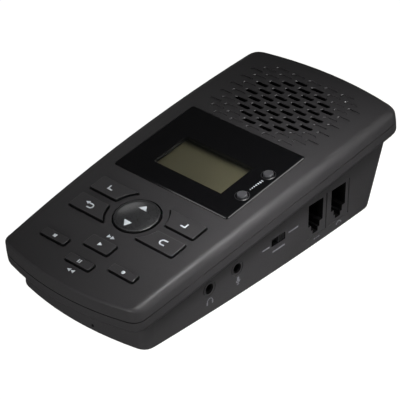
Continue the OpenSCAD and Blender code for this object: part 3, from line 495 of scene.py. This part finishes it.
def display_cell():
    """Unlit twisted-nematic display: a dull olive reflector behind a fine dot matrix, with painted shade
    towards its rear edge.
    """
    material, tree, shader, place = new_material("reflective_display_cell", IOR=1.5)
    cloud = add_node(
        tree,
        "ShaderNodeTexNoise",
        values={"Scale": MM / 30, "Detail": 1.0},
        links={"Vector": place},
    )
    # Dots of 0.6 mm, coarser than real ones so that they show
    dots = add_node(
        tree,
        "ShaderNodeTexBrick",
        offset=0.0,
        values={
            "Scale": MM / 0.6,
            "Mortar Size": 0.06,
            "Brick Width": 1.0,
            "Row Height": 1.0,
            "Color1": (1, 1, 1, 1),
            "Color2": (1, 1, 1, 1),
            "Mortar": (0.9, 0.9, 0.9, 1),
        },
        links={"Vector": place},
    )
    # Painted shade: the colour darkens softly over the last 4 mm of the glass, as if the opening's rear
    # edge threw its shade there
    axes = add_node(tree, "ShaderNodeSeparateXYZ", links={"Vector": place})
    shade = add_node(
        tree,
        "ShaderNodeMapRange",
        interpolation_type="SMOOTHSTEP",
        values={"From Min": 0.0062, "From Max": 0.0102, "To Min": 1.0, "To Max": 0.03},
        links={"Value": axes.outputs["Y"]},
    )
    tint = shaded(tree, cloud.outputs["Fac"], tuple(colours().display), 0.08)
    for layer in (dots.outputs["Color"], shade.outputs["Result"]):
        mix = add_node(
            tree,
            "ShaderNodeMix",
            data_type="RGBA",
            blend_type="MULTIPLY",
            values={MIX_FACTOR: 1.0},
            links={MIX_A: tint, MIX_B: layer},
        )
        tint = mix.outputs[MIX_RESULT]
    tree.links.new(tint, shader.inputs["Base Color"])
    tree.links.new(spread_value(tree, cloud.outputs["Fac"], 0.28, 0.4), shader.inputs["Roughness"])
    return material


def pad_ink(name, colour):
    """Pad-printed ink: a thin, slightly uneven and dull cover over the grain."""
    material, tree, shader, place = new_material(name, Roughness=0.5, IOR=1.5)
    cover = add_node(
        tree,
        "ShaderNodeTexNoise",
        values={"Scale": MM / 0.8, "Detail": 2.0},
        links={"Vector": place},
    )
    tree.links.new(shaded(tree, cover.outputs["Fac"], colour, 0.08), shader.inputs["Base Color"])
    return material


def plated_metal(name, colour, grain_mm, rough):
    """Plated metal: mirror-like under a fine drawn or rolled grain."""
    material, tree, shader, place = new_material(name, Metallic=1.0)
    grain = add_node(
        tree,
        "ShaderNodeTexNoise",
        values={"Scale": MM / grain_mm, "Detail": 3.0},
        links={"Vector": place},
    )
    tree.links.new(shaded(tree, grain.outputs["Fac"], colour, 0.08), shader.inputs["Base Color"])
    tree.links.new(spread_value(tree, grain.outputs["Fac"], *rough), shader.inputs["Roughness"])
    return material


def light_table(colour):
    """Opal acrylic of a light table, lit from below, with a faint cloudiness."""
    material, tree, shader, place = new_material(
        "opal_acrylic_light_table", Roughness=0.9, Emission_Strength=1.1
    )
    cloud = add_node(
        tree,
        "ShaderNodeTexNoise",
        values={"Scale": MM / FLOOR_CLOUD_MM, "Detail": 1.0},
        links={"Vector": place},
    )
    body = tuple(0.15 * c for c in colour)
    for socket, shown in (("Base Color", body), ("Emission Color", colour)):
        tree.links.new(shaded(tree, cloud.outputs["Fac"], shown, 0.01), shader.inputs[socket])
    return material


def build_finishes():
    """All finishes: those of the record's material slots and those of dressed pieces alone."""
    paint = colours()
    housing = tuple(paint.housing)
    return {
        "housing": moulded_plastic(
            "spark_eroded_abs_charcoal", housing, 0.55, 0.03, (0.42, 0.52), gloss=0.25
        ),
        "keycap": moulded_plastic(
            "satin_abs_keycap", tuple(paint.keycap), 0.4, 0.012, (0.36, 0.44)
        ),
        "rocker": moulded_plastic(
            "polished_abs_rocker", tuple(paint.rocker), 0.4, 0.006, (0.26, 0.32), gloss=1.0
        ),
        "lens": polished_acrylic("back_printed_acrylic", tuple(paint.print_black), 1.0),
        "window": polished_acrylic("clear_cast_acrylic", srgb("#20211e"), 0.12),
        "lcd": display_cell(),
        "inner_black": moulded_plastic("plain_black_abs", srgb("#121213"), 0.6, 0.01, (0.4, 0.5)),
        "button": moulded_plastic("satin_abs_grey", srgb("#333335"), 0.4, 0.01, (0.36, 0.46)),
        "silicone": moulded_plastic("moulded_silicone", srgb("#6d7073"), 0.8, 0.01, (0.6, 0.7)),
        "board": moulded_plastic("green_solder_resist", srgb("#1f5a36"), 1.2, 0.01, (0.3, 0.45)),
        "chip": moulded_plastic("moulded_epoxy", srgb("#17171a"), 0.3, 0.01, (0.55, 0.65)),
        "basket": plated_metal("zinc_plated_steel_sheet", srgb("#a5a8ad"), 1.5, (0.3, 0.45)),
        "cone": moulded_plastic("pressed_paper_pulp", srgb("#0c0c0c"), 0.9, 0.05, (0.85, 0.95)),
        "socket": moulded_plastic(
            "glass_filled_nylon_black", srgb("#121213"), 0.5, 0.01, (0.32, 0.42)
        ),
        "gilt": plated_metal("gold_plated_spring_wire", srgb("#d8b25a"), 0.6, (0.18, 0.28)),
        "plated": plated_metal("zinc_plated_steel", srgb("#b4b7ba"), 0.6, (0.22, 0.34)),
        "foot": moulded_plastic("moulded_rubber_black", srgb("#141415"), 0.5, 0.02, (0.7, 0.8)),
        "slot_edge": moulded_plastic(
            "bare_abs_edge", housing, 0.4, 0.003, (0.18, 0.24), gloss=0.5
        ),
        # Painted shade: the steep sides of keys and rocker are made near black to stand in for the shade
        # in the gaps round them
        "skirt": moulded_plastic(
            "painted_shade_on_key_skirts", srgb("#070708"), 0.6, 0.01, (0.5, 0.6), gloss=0.1
        ),
        # Painted shade: walls of the grille's slots and dimples, the switch's slot and the sockets'
        # openings are made near black for the shade inside them
        "bore": moulded_plastic(
            "painted_shade_in_bores", srgb("#030303"), 0.5, 0.01, (0.6, 0.7), gloss=0.05
        ),
        "rim": moulded_plastic(
            "satin_moulded_acrylic_rim", srgb("#121213"), 0.5, 0.01, (0.32, 0.42)
        ),
        "ink": pad_ink("pad_printed_pale_ink", tuple(paint.symbol)),
        "wall_ink": pad_ink("pad_printed_grey_ink", tuple(paint.wall_symbol)),
    }


# Finishes by name, filled by the finishes step before any piece is made
FINISH = {}


# Meshes


def piece(name, bm, finish, body, replaces=(), sharp=35):
    """Turns a bmesh in the part's frame into a finished piece that rides on a body."""
    mesh = bpy.data.meshes.new(name)
    bm.to_mesh(mesh)
    bm.free()
    if mesh.has_custom_normals:
        mesh.attributes.remove(mesh.attributes["custom_normal"])
    mesh.polygons.foreach_set("use_smooth", [True] * len(mesh.polygons))
    mesh.set_sharp_from_angle(angle=math.radians(sharp))
    obj = bpy.data.objects.new(name, mesh)
    # Large flat faces keep their own normals beside small roundings
    even = obj.modifiers.new("even_shading", "WEIGHTED_NORMAL")
    even.keep_sharp = True
    bpy.context.scene.collection.objects.link(obj)
    for key in [finish] if isinstance(finish, str) else finish:
        mesh.materials.append(FINISH[key])
    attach(obj, body)
    if replaces:
        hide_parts(*replaces)
    return obj


def merged_node(node):
    """A copy of a solid with its loose triangles joined, so that it can be shaded smooth."""
    bm = bmesh.new()
    bm.from_mesh(frame["nodes"][node].data)
    bmesh.ops.remove_doubles(bm, verts=bm.verts, dist=WELD)
    bmesh.ops.dissolve_degenerate(bm, edges=bm.edges, dist=SLIVER)
    return bm


def extruded(bm, faces, rise):
    """Extrudes flat faces along Z and returns the faces at the far end."""
    made = bmesh.ops.extrude_face_region(bm, geom=faces)["geom"]
    verts = [g for g in made if isinstance(g, bmesh.types.BMVert)]
    bmesh.ops.translate(bm, verts=verts, vec=(0, 0, rise))
    return [g for g in made if isinstance(g, bmesh.types.BMFace)]


def bevelled(bm, edges, offset, segments=1):
    """Bevels edges and returns the new faces, which keep their neighbours' finish."""
    made = bmesh.ops.bevel(
        bm,
        geom=edges,
        offset=offset,
        affect="EDGES",
        segments=segments,
        profile=0.5,
        material=-1,
    )
    return made["faces"]


def plate(bm, outline, z0, z1):
    """Extrudes a flat outline from one height to another and returns its top face."""
    base = bm.faces.new([bm.verts.new((x, y, z0)) for x, y in outline])
    return extruded(bm, [base], z1 - z0)[0]


def turned(bm, profile, steps):
    """Spins a profile of (radius, height) round Z; the ends on the axis are merged."""
    verts = [bm.verts.new((r, 0, z)) for r, z in profile]
    edges = [bm.edges.new(pair) for pair in zip(verts, verts[1:])]
    bmesh.ops.spin(
        bm,
        geom=verts + edges,
        cent=(0, 0, 0),
        axis=(0, 0, 1),
        angle=2 * math.pi,
        steps=steps,
        use_merge=True,
    )
    bmesh.ops.remove_doubles(bm, verts=bm.verts, dist=1e-4)


def put(bm, place):
    """Scales a mesh drawn in millimetres to metres and sets it in its place."""
    bmesh.ops.transform(bm, matrix=place @ Matrix.Scale(1 / MM, 4), verts=bm.verts)
    bmesh.ops.recalc_face_normals(bm, faces=bm.faces)


def curve_at(a, b, c, t):
    """Point of the curve from a to c that bends towards b, at share t of its way."""
    return tuple((1 - t) ** 2 * p + 2 * t * (1 - t) * q + t * t * r for p, q, r in zip(a, b, c))


def softened(corners, steps=5):
    """Closed outline with corners rounded by short curves; a corner is (x, y, length)."""
    out = []
    for i, (x, y, leg) in enumerate(corners):
        if not leg:
            out.append((x, y))
            continue
        ends = []
        for nx, ny, _ in (corners[i - 1], corners[(i + 1) % len(corners)]):
            far = math.hypot(nx - x, ny - y)
            ends.append((x + (nx - x) * leg / far, y + (ny - y) * leg / far))
        out += [curve_at(ends[0], (x, y), ends[1], k / (steps - 1)) for k in range(steps)]
    return out


def rectangle(width, length, leg):
    """Rectangle about its middle, with corners rounded over a length."""
    x, y = width / 2, length / 2
    return softened([(-x, -y, leg), (x, -y, leg), (x, y, leg), (-x, y, leg)])


def menu_outline(side_u, side_v, steps=8):
    """Menu key with the arc that it leaves round the rocker, about its own middle."""

    def arc_x(v):
        return math.sqrt(MENU_ARC**2 - v**2)

    near, far = MENU_NEAR - MENU_MID, MENU_FAR - MENU_MID
    corners = [
        (arc_x(MENU_NEAR), near, MENU_ARC_CORNER),
        (MENU_OUTER, near, KEY_CORNER),
        (MENU_OUTER, far, KEY_CORNER),
        (arc_x(MENU_FAR), far, MENU_ARC_CORNER),
    ]
    along = [MENU_FAR + (MENU_NEAR - MENU_FAR) * i / steps for i in range(1, steps)]
    corners += [(arc_x(v), v - MENU_MID, 0) for v in along]
    return [(side_u * x, side_v * y) for x, y in softened(corners)]


def key_outline(node):
    """Outline of a key's top about the key's own middle."""
    kind = KEYS[node][2]
    if kind == "menu":
        return menu_outline(*MENU_SIDES[node])
    return rectangle(KEY_WIDTH, KEY_LENGTHS[kind], KEY_CORNER)


def holed_plate(loops, z0, z1, chamfer):
    """Flat plate with holes, from closed loops of points; its outer upper edge is chamfered."""
    bm = bmesh.new()
    edges = []
    for loop in loops:
        verts = [bm.verts.new((x, y, z0)) for x, y in loop]
        edges += [bm.edges.new(pair) for pair in zip(verts, verts[1:] + verts[:1])]
    fill = bmesh.ops.triangle_fill(bm, use_beauty=True, edges=edges)["geom"]
    faces = [g for g in fill if isinstance(g, bmesh.types.BMFace)]
    bmesh.ops.recalc_face_normals(bm, faces=faces)
    flat = set(extruded(bm, faces, z1 - z0))
    wide = max(x for x, _ in loops[0])
    deep = max(y for _, y in loops[0])
    rim = [
        e
        for e in bm.edges
        if sum(f in flat for f in e.link_faces) == 1
        and all(max(abs(v.co.x) / wide, abs(v.co.y) / deep) > OUTER_SHARE for v in e.verts)
    ]
    bevelled(bm, rim, chamfer)
    return bm


def join(bm, other):
    """Adds another bmesh's geometry to the first and frees the other."""
    mesh = bpy.data.meshes.new("join")
    other.to_mesh(mesh)
    other.free()
    bm.from_mesh(mesh)
    bpy.data.meshes.remove(mesh)


def dress_grille(bm):
    """Chamfers the upper rims of the grille's slots and dimples and blackens their walls with painted
    shade.
    """
    place = on_top(0, GRILLE_V)
    up = place.to_3x3() @ Vector((0, 0, 1))
    back = place.inverted()
    bm.normal_update()
    rims = []
    for edge in bm.edges:
        middle = back @ ((edge.verts[0].co + edge.verts[1].co) / 2)
        if abs(middle.x) > GRILLE_REACH or abs(middle.y) > GRILLE_REACH or not edge.is_convex:
            continue
        lean = sorted(face.normal.dot(up) for face in edge.link_faces)
        if abs(lean[0]) < BESIDE and lean[-1] > FACING:
            rims.append(edge)
    if not rims:
        raise RuntimeError("The grille's rims were not found")
    chamfers = bevelled(bm, rims, GRILLE_CHAMFER)
    bm.normal_update()
    for face in bm.faces:
        middle = back @ face.calc_center_median()
        inside = max(abs(middle.x), abs(middle.y)) < GRILLE_REACH
        if inside and abs(face.normal.dot(up)) < BESIDE:
            face.material_index = 1
    for face in chamfers:
        face.material_index = 2


def blacken_slot(bm):
    """Gives the walls of the slide switch's slot the second finish, a near-black painted shade."""
    bm.normal_update()
    for face in bm.faces:
        x, y, z = face.calc_center_median()
        inside = x > SLOT_X and abs(y - SLOT_Y) < SLOT_HALF_L and abs(z - SLOT_Z) < SLOT_HALF_H
        if inside and abs(face.normal.x) < SLOT_BESIDE:
            face.material_index = 1


def paint_skirt_shade(bm):
    """Gives the steep sides of a key, drawn upright, its second finish, a near-black painted shade."""
    bmesh.ops.recalc_face_normals(bm, faces=bm.faces)
    for face in bm.faces:
        face.material_index = int(face.normal.z < SKIRT_UNDER)


def nav_height(r):
    """Height of the rocker's dome over the cover at a radius, in millimetres."""
    return NAV_CROWN - NAV_FALL * (r / NAV_DOME_R) ** 2


def nav_slope(r):
    """Slope of the rocker's dome at a radius."""
    return -2 * NAV_FALL * r / NAV_DOME_R**2


def ring(x, y, r, count=32):
    """Closed round outline."""
    angles = [2 * math.pi * i / count for i in range(count)]
    return [(x + r * math.cos(a), y + r * math.sin(a)) for a in angles]


# Printed symbols: closed loops in millimetres about the symbol's own middle


def bar(x0, y0, x1, y1, w):
    """A straight stroke with square ends."""
    dx, dy = x1 - x0, y1 - y0
    far = math.hypot(dx, dy)
    nx, ny = -dy / far * w / 2, dx / far * w / 2
    return [(x0 - nx, y0 - ny), (x1 - nx, y1 - ny), (x1 + nx, y1 + ny), (x0 + nx, y0 + ny)]


def bow(x, y, r, w, start, end, count=16):
    """A curved stroke of width w, between two angles in degrees."""
    angles = [math.radians(start + (end - start) * i / count) for i in range(count + 1)]
    out, into = r + w / 2, r - w / 2
    outer = [(x + out * math.cos(a), y + out * math.sin(a)) for a in angles]
    inner = [(x + into * math.cos(a), y + into * math.sin(a)) for a in reversed(angles)]
    return outer + inner


def triangle(x, y, half, turn):
    """A triangle that points along the angle turn, in degrees."""
    points = [(half, 0), (-half * 0.75, half * 0.95), (-half * 0.75, -half * 0.95)]
    c, s = math.cos(math.radians(turn)), math.sin(math.radians(turn))
    return [(x + c * px - s * py, y + s * px + c * py) for px, py in points]


STROKE = 0.5
SYMBOLS = {
    "left_soft_key": [
        [(-1.1, 1.0), (-0.6, 1.0), (-0.6, -0.5), (1.1, -0.5), (1.1, -1.0), (-1.1, -1.0)],
    ],
    "right_soft_key": [
        [(1.1, 1.0), (1.1, -1.0), (-1.1, -1.0), (-1.1, -0.5), (0.6, -0.5), (0.6, 1.0)],
    ],
    "back_key": [
        triangle(-1.5, 0.6, 0.85, 180),
        bar(-1.0, 0.6, 0.72, 0.6, STROKE),
        bow(0.7, -0.35, 0.95, STROKE, -90, 90),
        bar(-0.4, -1.3, 0.72, -1.3, STROKE),
    ],
    "clear_key": [
        bow(-0.2, 0.0, 1.05, STROKE, 90, 270),
        bar(-0.22, 1.05, 1.2, 1.05, STROKE),
        bar(-0.22, -1.05, 1.2, -1.05, STROKE),
    ],
    "stop_key": [[(-0.8, -0.8), (0.8, -0.8), (0.8, 0.8), (-0.8, 0.8)]],
    "record_key": [ring(0, 0, 0.85, 24)],
    "play_key": [triangle(0, 0, 1.1, 0)],
    "pause_key": [
        [(-0.8, -0.9), (-0.25, -0.9), (-0.25, 0.9), (-0.8, 0.9)],
        [(0.25, -0.9), (0.8, -0.9), (0.8, 0.9), (0.25, 0.9)],
    ],
}
# A menu key's symbol: place across the slab and scale
MENU_SYMBOL_U = 20.8
MENU_SYMBOL_SCALE = 1.25
# Rocker's arrow, and its two places along the rocker with their turns
NAV_ARROW = [(-2.2, -1.2), (2.2, -1.2), (0, 1.6)]
NAV_ARROWS = (("rear", 4.6, 0), ("front", -6.2, math.pi))
# Skip marks on the cover: half size, and each one's turn and place along the slab
SKIP_HALF = 1.0
SKIP_MARKS = (("forward_symbol", 0, -56.5), ("rewind_symbol", 180, -79.9))
# Level mark on the panel: place along the slab, and bars that grow towards the rear small button
LEVEL_V = 2.3
LEVEL = [bar(0, 1.2 * i - 3.4, 0.35 + 0.132 * i, 1.2 * i - 3.4, 0.45) for i in range(7)]
HEADPHONES = [
    bow(0, -0.2, 1.5, 0.4, 0, 180),
    [(-1.95, -1.7), (-1.2, -1.7), (-1.2, -0.2), (-1.95, -0.2)],
    [(1.2, -1.7), (1.95, -1.7), (1.95, -0.2), (1.2, -0.2)],
]
MICROPHONE = [
    softened([(-0.6, -0.5, 0.55), (0.6, -0.5, 0.55), (0.6, 1.9, 0.55), (-0.6, 1.9, 0.55)]),
    bow(0, 0.2, 1.15, 0.32, 180, 360),
    bar(0, -1.0, 0, -1.75, 0.32),
    bar(-0.7, -1.85, 0.7, -1.85, 0.3),
]
LINE_MARK = [
    bar(-1.6, 0.0, 1.6, 0.0, 0.35),
    triangle(1.6, 0.0, 0.55, 0),
    ring(-1.7, 0.0, 0.45, 20),
]
HANDSET = [
    bow(0, -1.1, 1.9, 0.5, 40, 140),
    [(-1.95, -0.75), (-1.05, -0.35), (-1.25, 0.35), (-1.95, 0.1)],
    [(1.95, -0.75), (1.95, 0.1), (1.25, 0.35), (1.05, -0.35)],
]
# Symbols under the sockets: along the body and height
WALL_SYMBOLS = (
    ("headphone_symbol", HEADPHONES, -38.5, 7.5),
    ("microphone_symbol", MICROPHONE, -21.5, 8.8),
    ("line_symbol", LINE_MARK, 30.2, 4.3),
    ("handset_symbol", HANDSET, 45.8, 4.2),
)
# Plain marks at the switch's places: along the body, height and length of each
SWITCH_MARKS = ((-4.2, 15.6, 4.5), (4.1, 12.0, 8.0), (13.6, 16.8, 6.5))
SWITCH_MARK_WIDTH = 0.7
# Gap under every print, and the further lift of a flat print on a curved surface
PRINT_GAP = 0.005
PRINT_LIFT = 0.03


def printed(name, loops, place, body, lift=0.0, ink="ink"):
    """A thin print on a surface, as one piece."""
    bm = bmesh.new()
    under = lift + PRINT_GAP
    for loop in loops:
        plate(bm, loop, under, under + sizes().ink * MM)
    put(bm, place)
    return piece(name, bm, ink, body, sharp=20)


# Operators


class RECORDER_OT_finishes(bpy.types.Operator):
    """Makes the finishes and gives every solid the one of its slot"""

    bl_idname = "recorder.finishes"
    bl_label = "Finishes"
    bl_options = {"REGISTER", "UNDO"}

    def execute(self, context):
        FINISH.update(build_finishes())
        for entry in frame["record"]["subparts"]:
            slots = frame["nodes"][entry["node"]].data.materials
            slots.clear()
            slots.append(FINISH[entry["material_slot"]])
        return {"FINISHED"}


class RECORDER_OT_shells(bpy.types.Operator):
    """Smooth shells for the cover and the lower case"""

    bl_idname = "recorder.shells"
    bl_label = "Shells"
    bl_options = {"REGISTER", "UNDO"}

    def execute(self, context):
        finish = ["housing", "bore", "slot_edge"]
        for node, dress in (("top_cover", dress_grille), ("bottom_case", blacken_slot)):
            bm = merged_node(node)
            dress(bm)
            piece(node + "_shell", bm, finish, HOUSING, [node], sharp=28)
        return {"FINISHED"}


class RECORDER_OT_keys(bpy.types.Operator):
    """Menu and transport keys with rounded top edges"""

    bl_idname = "recorder.keys"
    bl_label = "Keys"
    bl_options = {"REGISTER", "UNDO"}

    def execute(self, context):
        s = sizes()
        for node, (u, v, _) in KEYS.items():
            bm = bmesh.new()
            top = plate(bm, key_outline(node), -KEY_DEPTH, s.key_rise * MM)
            bevelled(bm, list(top.edges), s.key_round * MM, segments=4)
            # The steep sides get near-black painted shade
            paint_skirt_shade(bm)
            put(bm, on_top(u, v))
            piece(node + "_cap", bm, ["keycap", "skirt"], node, [node], sharp=50)
        return {"FINISHED"}


class RECORDER_OT_rocker(bpy.types.Operator):
    """Domed round rocker with a rolled rim"""

    bl_idname = "recorder.rocker"
    bl_label = "Rocker"
    bl_options = {"REGISTER", "UNDO"}

    def execute(self, context):
        bm = bmesh.new()
        radii = [NAV_DOME_R * i / NAV_DOME_STEPS for i in range(NAV_DOME_STEPS + 1)]
        dome = [(r, nav_height(r)) for r in radii]
        turned(bm, [*dome, *NAV_RIM, (NAV_R, -NAV_DEPTH), (0, -NAV_DEPTH)], NAV_STEPS)
        # The rim's steep outer side gets near-black painted shade
        paint_skirt_shade(bm)
        put(bm, on_top(0, NAV_V))
        finish = ["rocker", "skirt"]
        piece("nav_key_disc", bm, finish, "nav_key", ["nav_key"], sharp=50)
        return {"FINISHED"}


class RECORDER_OT_buttons(bpy.types.Operator):
    """Two small round buttons on the display panel"""

    bl_idname = "recorder.buttons"
    bl_label = "Small Buttons"
    bl_options = {"REGISTER", "UNDO"}

    def execute(self, context):
        for node, v in BUTTONS.items():
            bm = bmesh.new()
            turned(bm, BUTTON_SECTION, BUTTON_STEPS)
            put(bm, on_panel(BUTTON_U, v))
            piece(node + "_cap", bm, "button", node, [node], sharp=50)
        return {"FINISHED"}


class RECORDER_OT_display(bpy.types.Operator):
    """Clear panel, its black print with the window, and the display cell behind it"""

    bl_idname = "recorder.display"
    bl_label = "Display"
    bl_options = {"REGISTER", "UNDO"}

    def execute(self, context):
        self.panel()
        self.window()
        self.cell()
        return {"FINISHED"}

    def panel(self):
        """Printed panel with a window and a low lip round each button's hole, which catches the light."""
        x, y, middle = WINDOW_WIDTH / 2, WINDOW_LENGTH / 2, LCD_V - LENS_V
        window = [(-x, middle - y), (x, middle - y), (x, middle + y), (-x, middle + y)]
        holes = [ring(BUTTON_U, v - LENS_V, BUTTON_HOLE_R) for v in BUTTONS.values()]
        outline = rectangle(LENS_WIDTH, LENS_LENGTH, LENS_CORNER)
        bm = holed_plate([outline, window] + holes, LENS_UNDER, LENS_TOP, LENS_CHAMFER)
        for v in BUTTONS.values():
            lip = bmesh.new()
            turned(lip, LIP_SECTION, BUTTON_STEPS)
            bmesh.ops.translate(lip, verts=lip.verts, vec=(BUTTON_U, v - LENS_V, 0))
            for face in lip.faces:
                face.material_index = 1
            join(bm, lip)
        put(bm, on_panel(0, LENS_V))
        piece("display_panel", bm, ["lens", "rim"], HOUSING, ["display_lens"], sharp=30)

    def window(self):
        """Clear sheet that fills the window."""
        bm = bmesh.new()
        width, length = WINDOW_WIDTH + 2 * SHEET_LAP, WINDOW_LENGTH + 2 * SHEET_LAP
        plate(bm, rectangle(width, length, SHEET_CORNER), SHEET_UNDER, SHEET_TOP)
        put(bm, on_panel(0, LCD_V))
        piece("display_window", bm, "window", HOUSING, sharp=30)

    def cell(self):
        """Display cell with its glass sunk in a black rim."""
        bm = bmesh.new()
        top = plate(bm, rectangle(LCD_WIDTH, LCD_LENGTH, 0), LCD_UNDER, LCD_TOP)
        bmesh.ops.inset_region(bm, faces=[top], thickness=LCD_RIM, depth=0.0)
        extruded(bm, [top], -LCD_SINK)
        bmesh.ops.delete(bm, geom=[top], context="FACES_ONLY")
        for face in bm.faces:
            face.material_index = 0 if face.calc_center_median().z < LCD_BLACK_OVER else 1
        put(bm, on_panel(0, LCD_V))
        piece("display_cell", bm, ["lcd", "inner_black"], HOUSING, ["lcd_panel"], sharp=30)


class RECORDER_OT_symbols(bpy.types.Operator):
    """Printed symbols on keys, cover and side wall"""

    bl_idname = "recorder.symbols"
    bl_label = "Symbols"
    bl_options = {"REGISTER", "UNDO"}

    def execute(self, context):
        rise = sizes().key_rise * MM
        for node, loops in SYMBOLS.items():
            u, v, kind = KEYS[node]
            if kind == "menu":
                u = MENU_SIDES[node][0] * MENU_SYMBOL_U
                scale = MENU_SYMBOL_SCALE
                loops = [[(scale * x, scale * y) for x, y in loop] for loop in loops]
            printed(node + "_symbol", loops, on_top(u, v), node, rise)
        for name, out, turn in NAV_ARROWS:
            place = on_top(0, NAV_V) @ Matrix.Translation((0, out / MM, nav_height(out) / MM))
            lean = Matrix.Rotation(math.atan(nav_slope(out)), 4, "X")
            aim = Matrix.Rotation(turn, 4, "Z")
            printed(f"nav_symbol_{name}", [NAV_ARROW], place @ lean @ aim, "nav_key", PRINT_LIFT)
        for name, turn, v in SKIP_MARKS:
            pair = [triangle(x, 0, SKIP_HALF, turn) for x in (-SKIP_HALF, SKIP_HALF)]
            printed(name, pair, on_top(0, v), HOUSING)
        printed("level_symbol", LEVEL, on_panel(BUTTON_U, LEVEL_V), HOUSING, LENS_TOP)
        for name, loops, y, z in WALL_SYMBOLS:
            printed(name, loops, on_wall(y, z), HOUSING, ink="wall_ink")
        for i, (y, z, length) in enumerate(SWITCH_MARKS):
            mark = [bar(-length / 2, 0, length / 2, 0, SWITCH_MARK_WIDTH)]
            printed(f"switch_mark_{i}", mark, on_wall(y, z), HOUSING, PRINT_LIFT, "wall_ink")
        return {"FINISHED"}


class RECORDER_OT_fittings(bpy.types.Operator):
    """Sockets, screws, feet and speaker with smooth round faces"""

    bl_idname = "recorder.fittings"
    bl_label = "Fittings"
    bl_options = {"REGISTER", "UNDO"}

    def execute(self, context):
        for node in SOCKETS:
            bm = merged_node(node)
            bm.normal_update()
            front = max(vert.co.x for vert in bm.verts) - SOCKET_FACE
            # Faces behind a socket's front get near-black painted shade
            for face in bm.faces:
                shown = face.normal.x >= FACING and face.calc_center_median().x >= front
                face.material_index = 0 if shown else 1
            piece(node + "_smooth", bm, ["housing", "bore"], HOUSING, [node])
        slots = {entry["node"]: entry["material_slot"] for entry in frame["record"]["subparts"]}
        for node in ROUND_FITTINGS:
            piece(node + "_smooth", merged_node(node), slots[node], HOUSING, [node])
        return {"FINISHED"}


class RECORDER_OT_stage(bpy.types.Operator):
    """Pale floor, soft studio light and the camera"""

    bl_idname = "recorder.stage"
    bl_label = "Studio"
    bl_options = {"REGISTER", "UNDO"}

    def execute(self, context):
        scene = context.scene
        bm = bmesh.new()
        bmesh.ops.create_grid(bm, x_segments=8, y_segments=8, size=FLOOR_REACH)
        bmesh.ops.translate(bm, verts=bm.verts, vec=(0, 0, -FLOOR_DROP))
        mesh = bpy.data.meshes.new("studio_floor")
        bm.to_mesh(mesh)
        bm.free()
        floor = bpy.data.objects.new("studio_floor", mesh)
        scene.collection.objects.link(floor)
        mesh.materials.append(light_table(tuple(colours().floor)))
        # The part doesn't mirror the floor
        floor.visible_glossy = False

        world = bpy.data.worlds.new("studio_air")
        scene.world = world
        world.use_nodes = True
        air = world.node_tree.nodes["Background"]
        air.inputs["Color"].default_value = (1, 1, 1, 1)
        air.inputs["Strength"].default_value = AIR_STRENGTH
        for name, place, aim, size, power, spread in LIGHTS:
            light = bpy.data.lights.new(name, "AREA")
            light.size = size
            light.energy = power
            light.spread = math.radians(spread)
            lamp = bpy.data.objects.new(name, light)
            lamp.location = place
            lamp.rotation_euler = (Vector(aim) - Vector(place)).to_track_quat("-Z", "Y").to_euler()
            scene.collection.objects.link(lamp)

        lens = bpy.data.cameras.new("photo_camera")
        lens.sensor_width = CAMERA_SENSOR
        lens.lens = CAMERA_FOCAL
        lens.clip_end = CAMERA_REACH
        camera = bpy.data.objects.new("photo_camera", lens)
        camera.location = CAMERA_PLACE
        tip = math.radians(90 - CAMERA_ELEVATION)
        camera.rotation_euler = (tip, 0.0, math.radians(CAMERA_AZIMUTH))
        scene.collection.objects.link(camera)
        scene.camera = camera
        scene.view_settings.view_transform = "Standard"
        return {"FINISHED"}


class RECORDER_PT_panel(bpy.types.Panel):
    """Lists the recorder's sizes, colours and steps"""

    bl_idname = "RECORDER_PT_panel"
    bl_label = "Phone Call Recorder"
    bl_space_type = "VIEW_3D"
    bl_region_type = "UI"
    bl_category = "Recorder"

    def draw(self, context):
        for group in (context.scene.recorder_sizes, context.scene.recorder_colours):
            box = self.layout.box()
            for name in group.__annotations__:
                box.prop(group, name)
        for step in STEPS:
            self.layout.operator(step.bl_idname)


STEPS = (
    RECORDER_OT_stage,
    RECORDER_OT_finishes,
    RECORDER_OT_shells,
    RECORDER_OT_keys,
    RECORDER_OT_rocker,
    RECORDER_OT_buttons,
    RECORDER_OT_display,
    RECORDER_OT_symbols,
    RECORDER_OT_fittings,
)
CLASSES = (RecorderSizes, RecorderColours, *STEPS, RECORDER_PT_panel)


def register():
    for cls in CLASSES:
        bpy.utils.register_class(cls)
    bpy.types.Scene.recorder_sizes = bpy.props.PointerProperty(type=RecorderSizes)
    bpy.types.Scene.recorder_colours = bpy.props.PointerProperty(type=RecorderColours)


def unregister():
    del bpy.types.Scene.recorder_colours
    del bpy.types.Scene.recorder_sizes
    for cls in reversed(CLASSES):
        bpy.utils.unregister_class(cls)


def main():
    register()
    bpy.ops.recorder.stage()
    bpy.ops.recorder.finishes()
    bpy.ops.recorder.shells()
    bpy.ops.recorder.keys()
    bpy.ops.recorder.rocker()
    bpy.ops.recorder.buttons()
    bpy.ops.recorder.display()
    bpy.ops.recorder.symbols()
    bpy.ops.recorder.fittings()


if __name__ == "__main__":
    main()
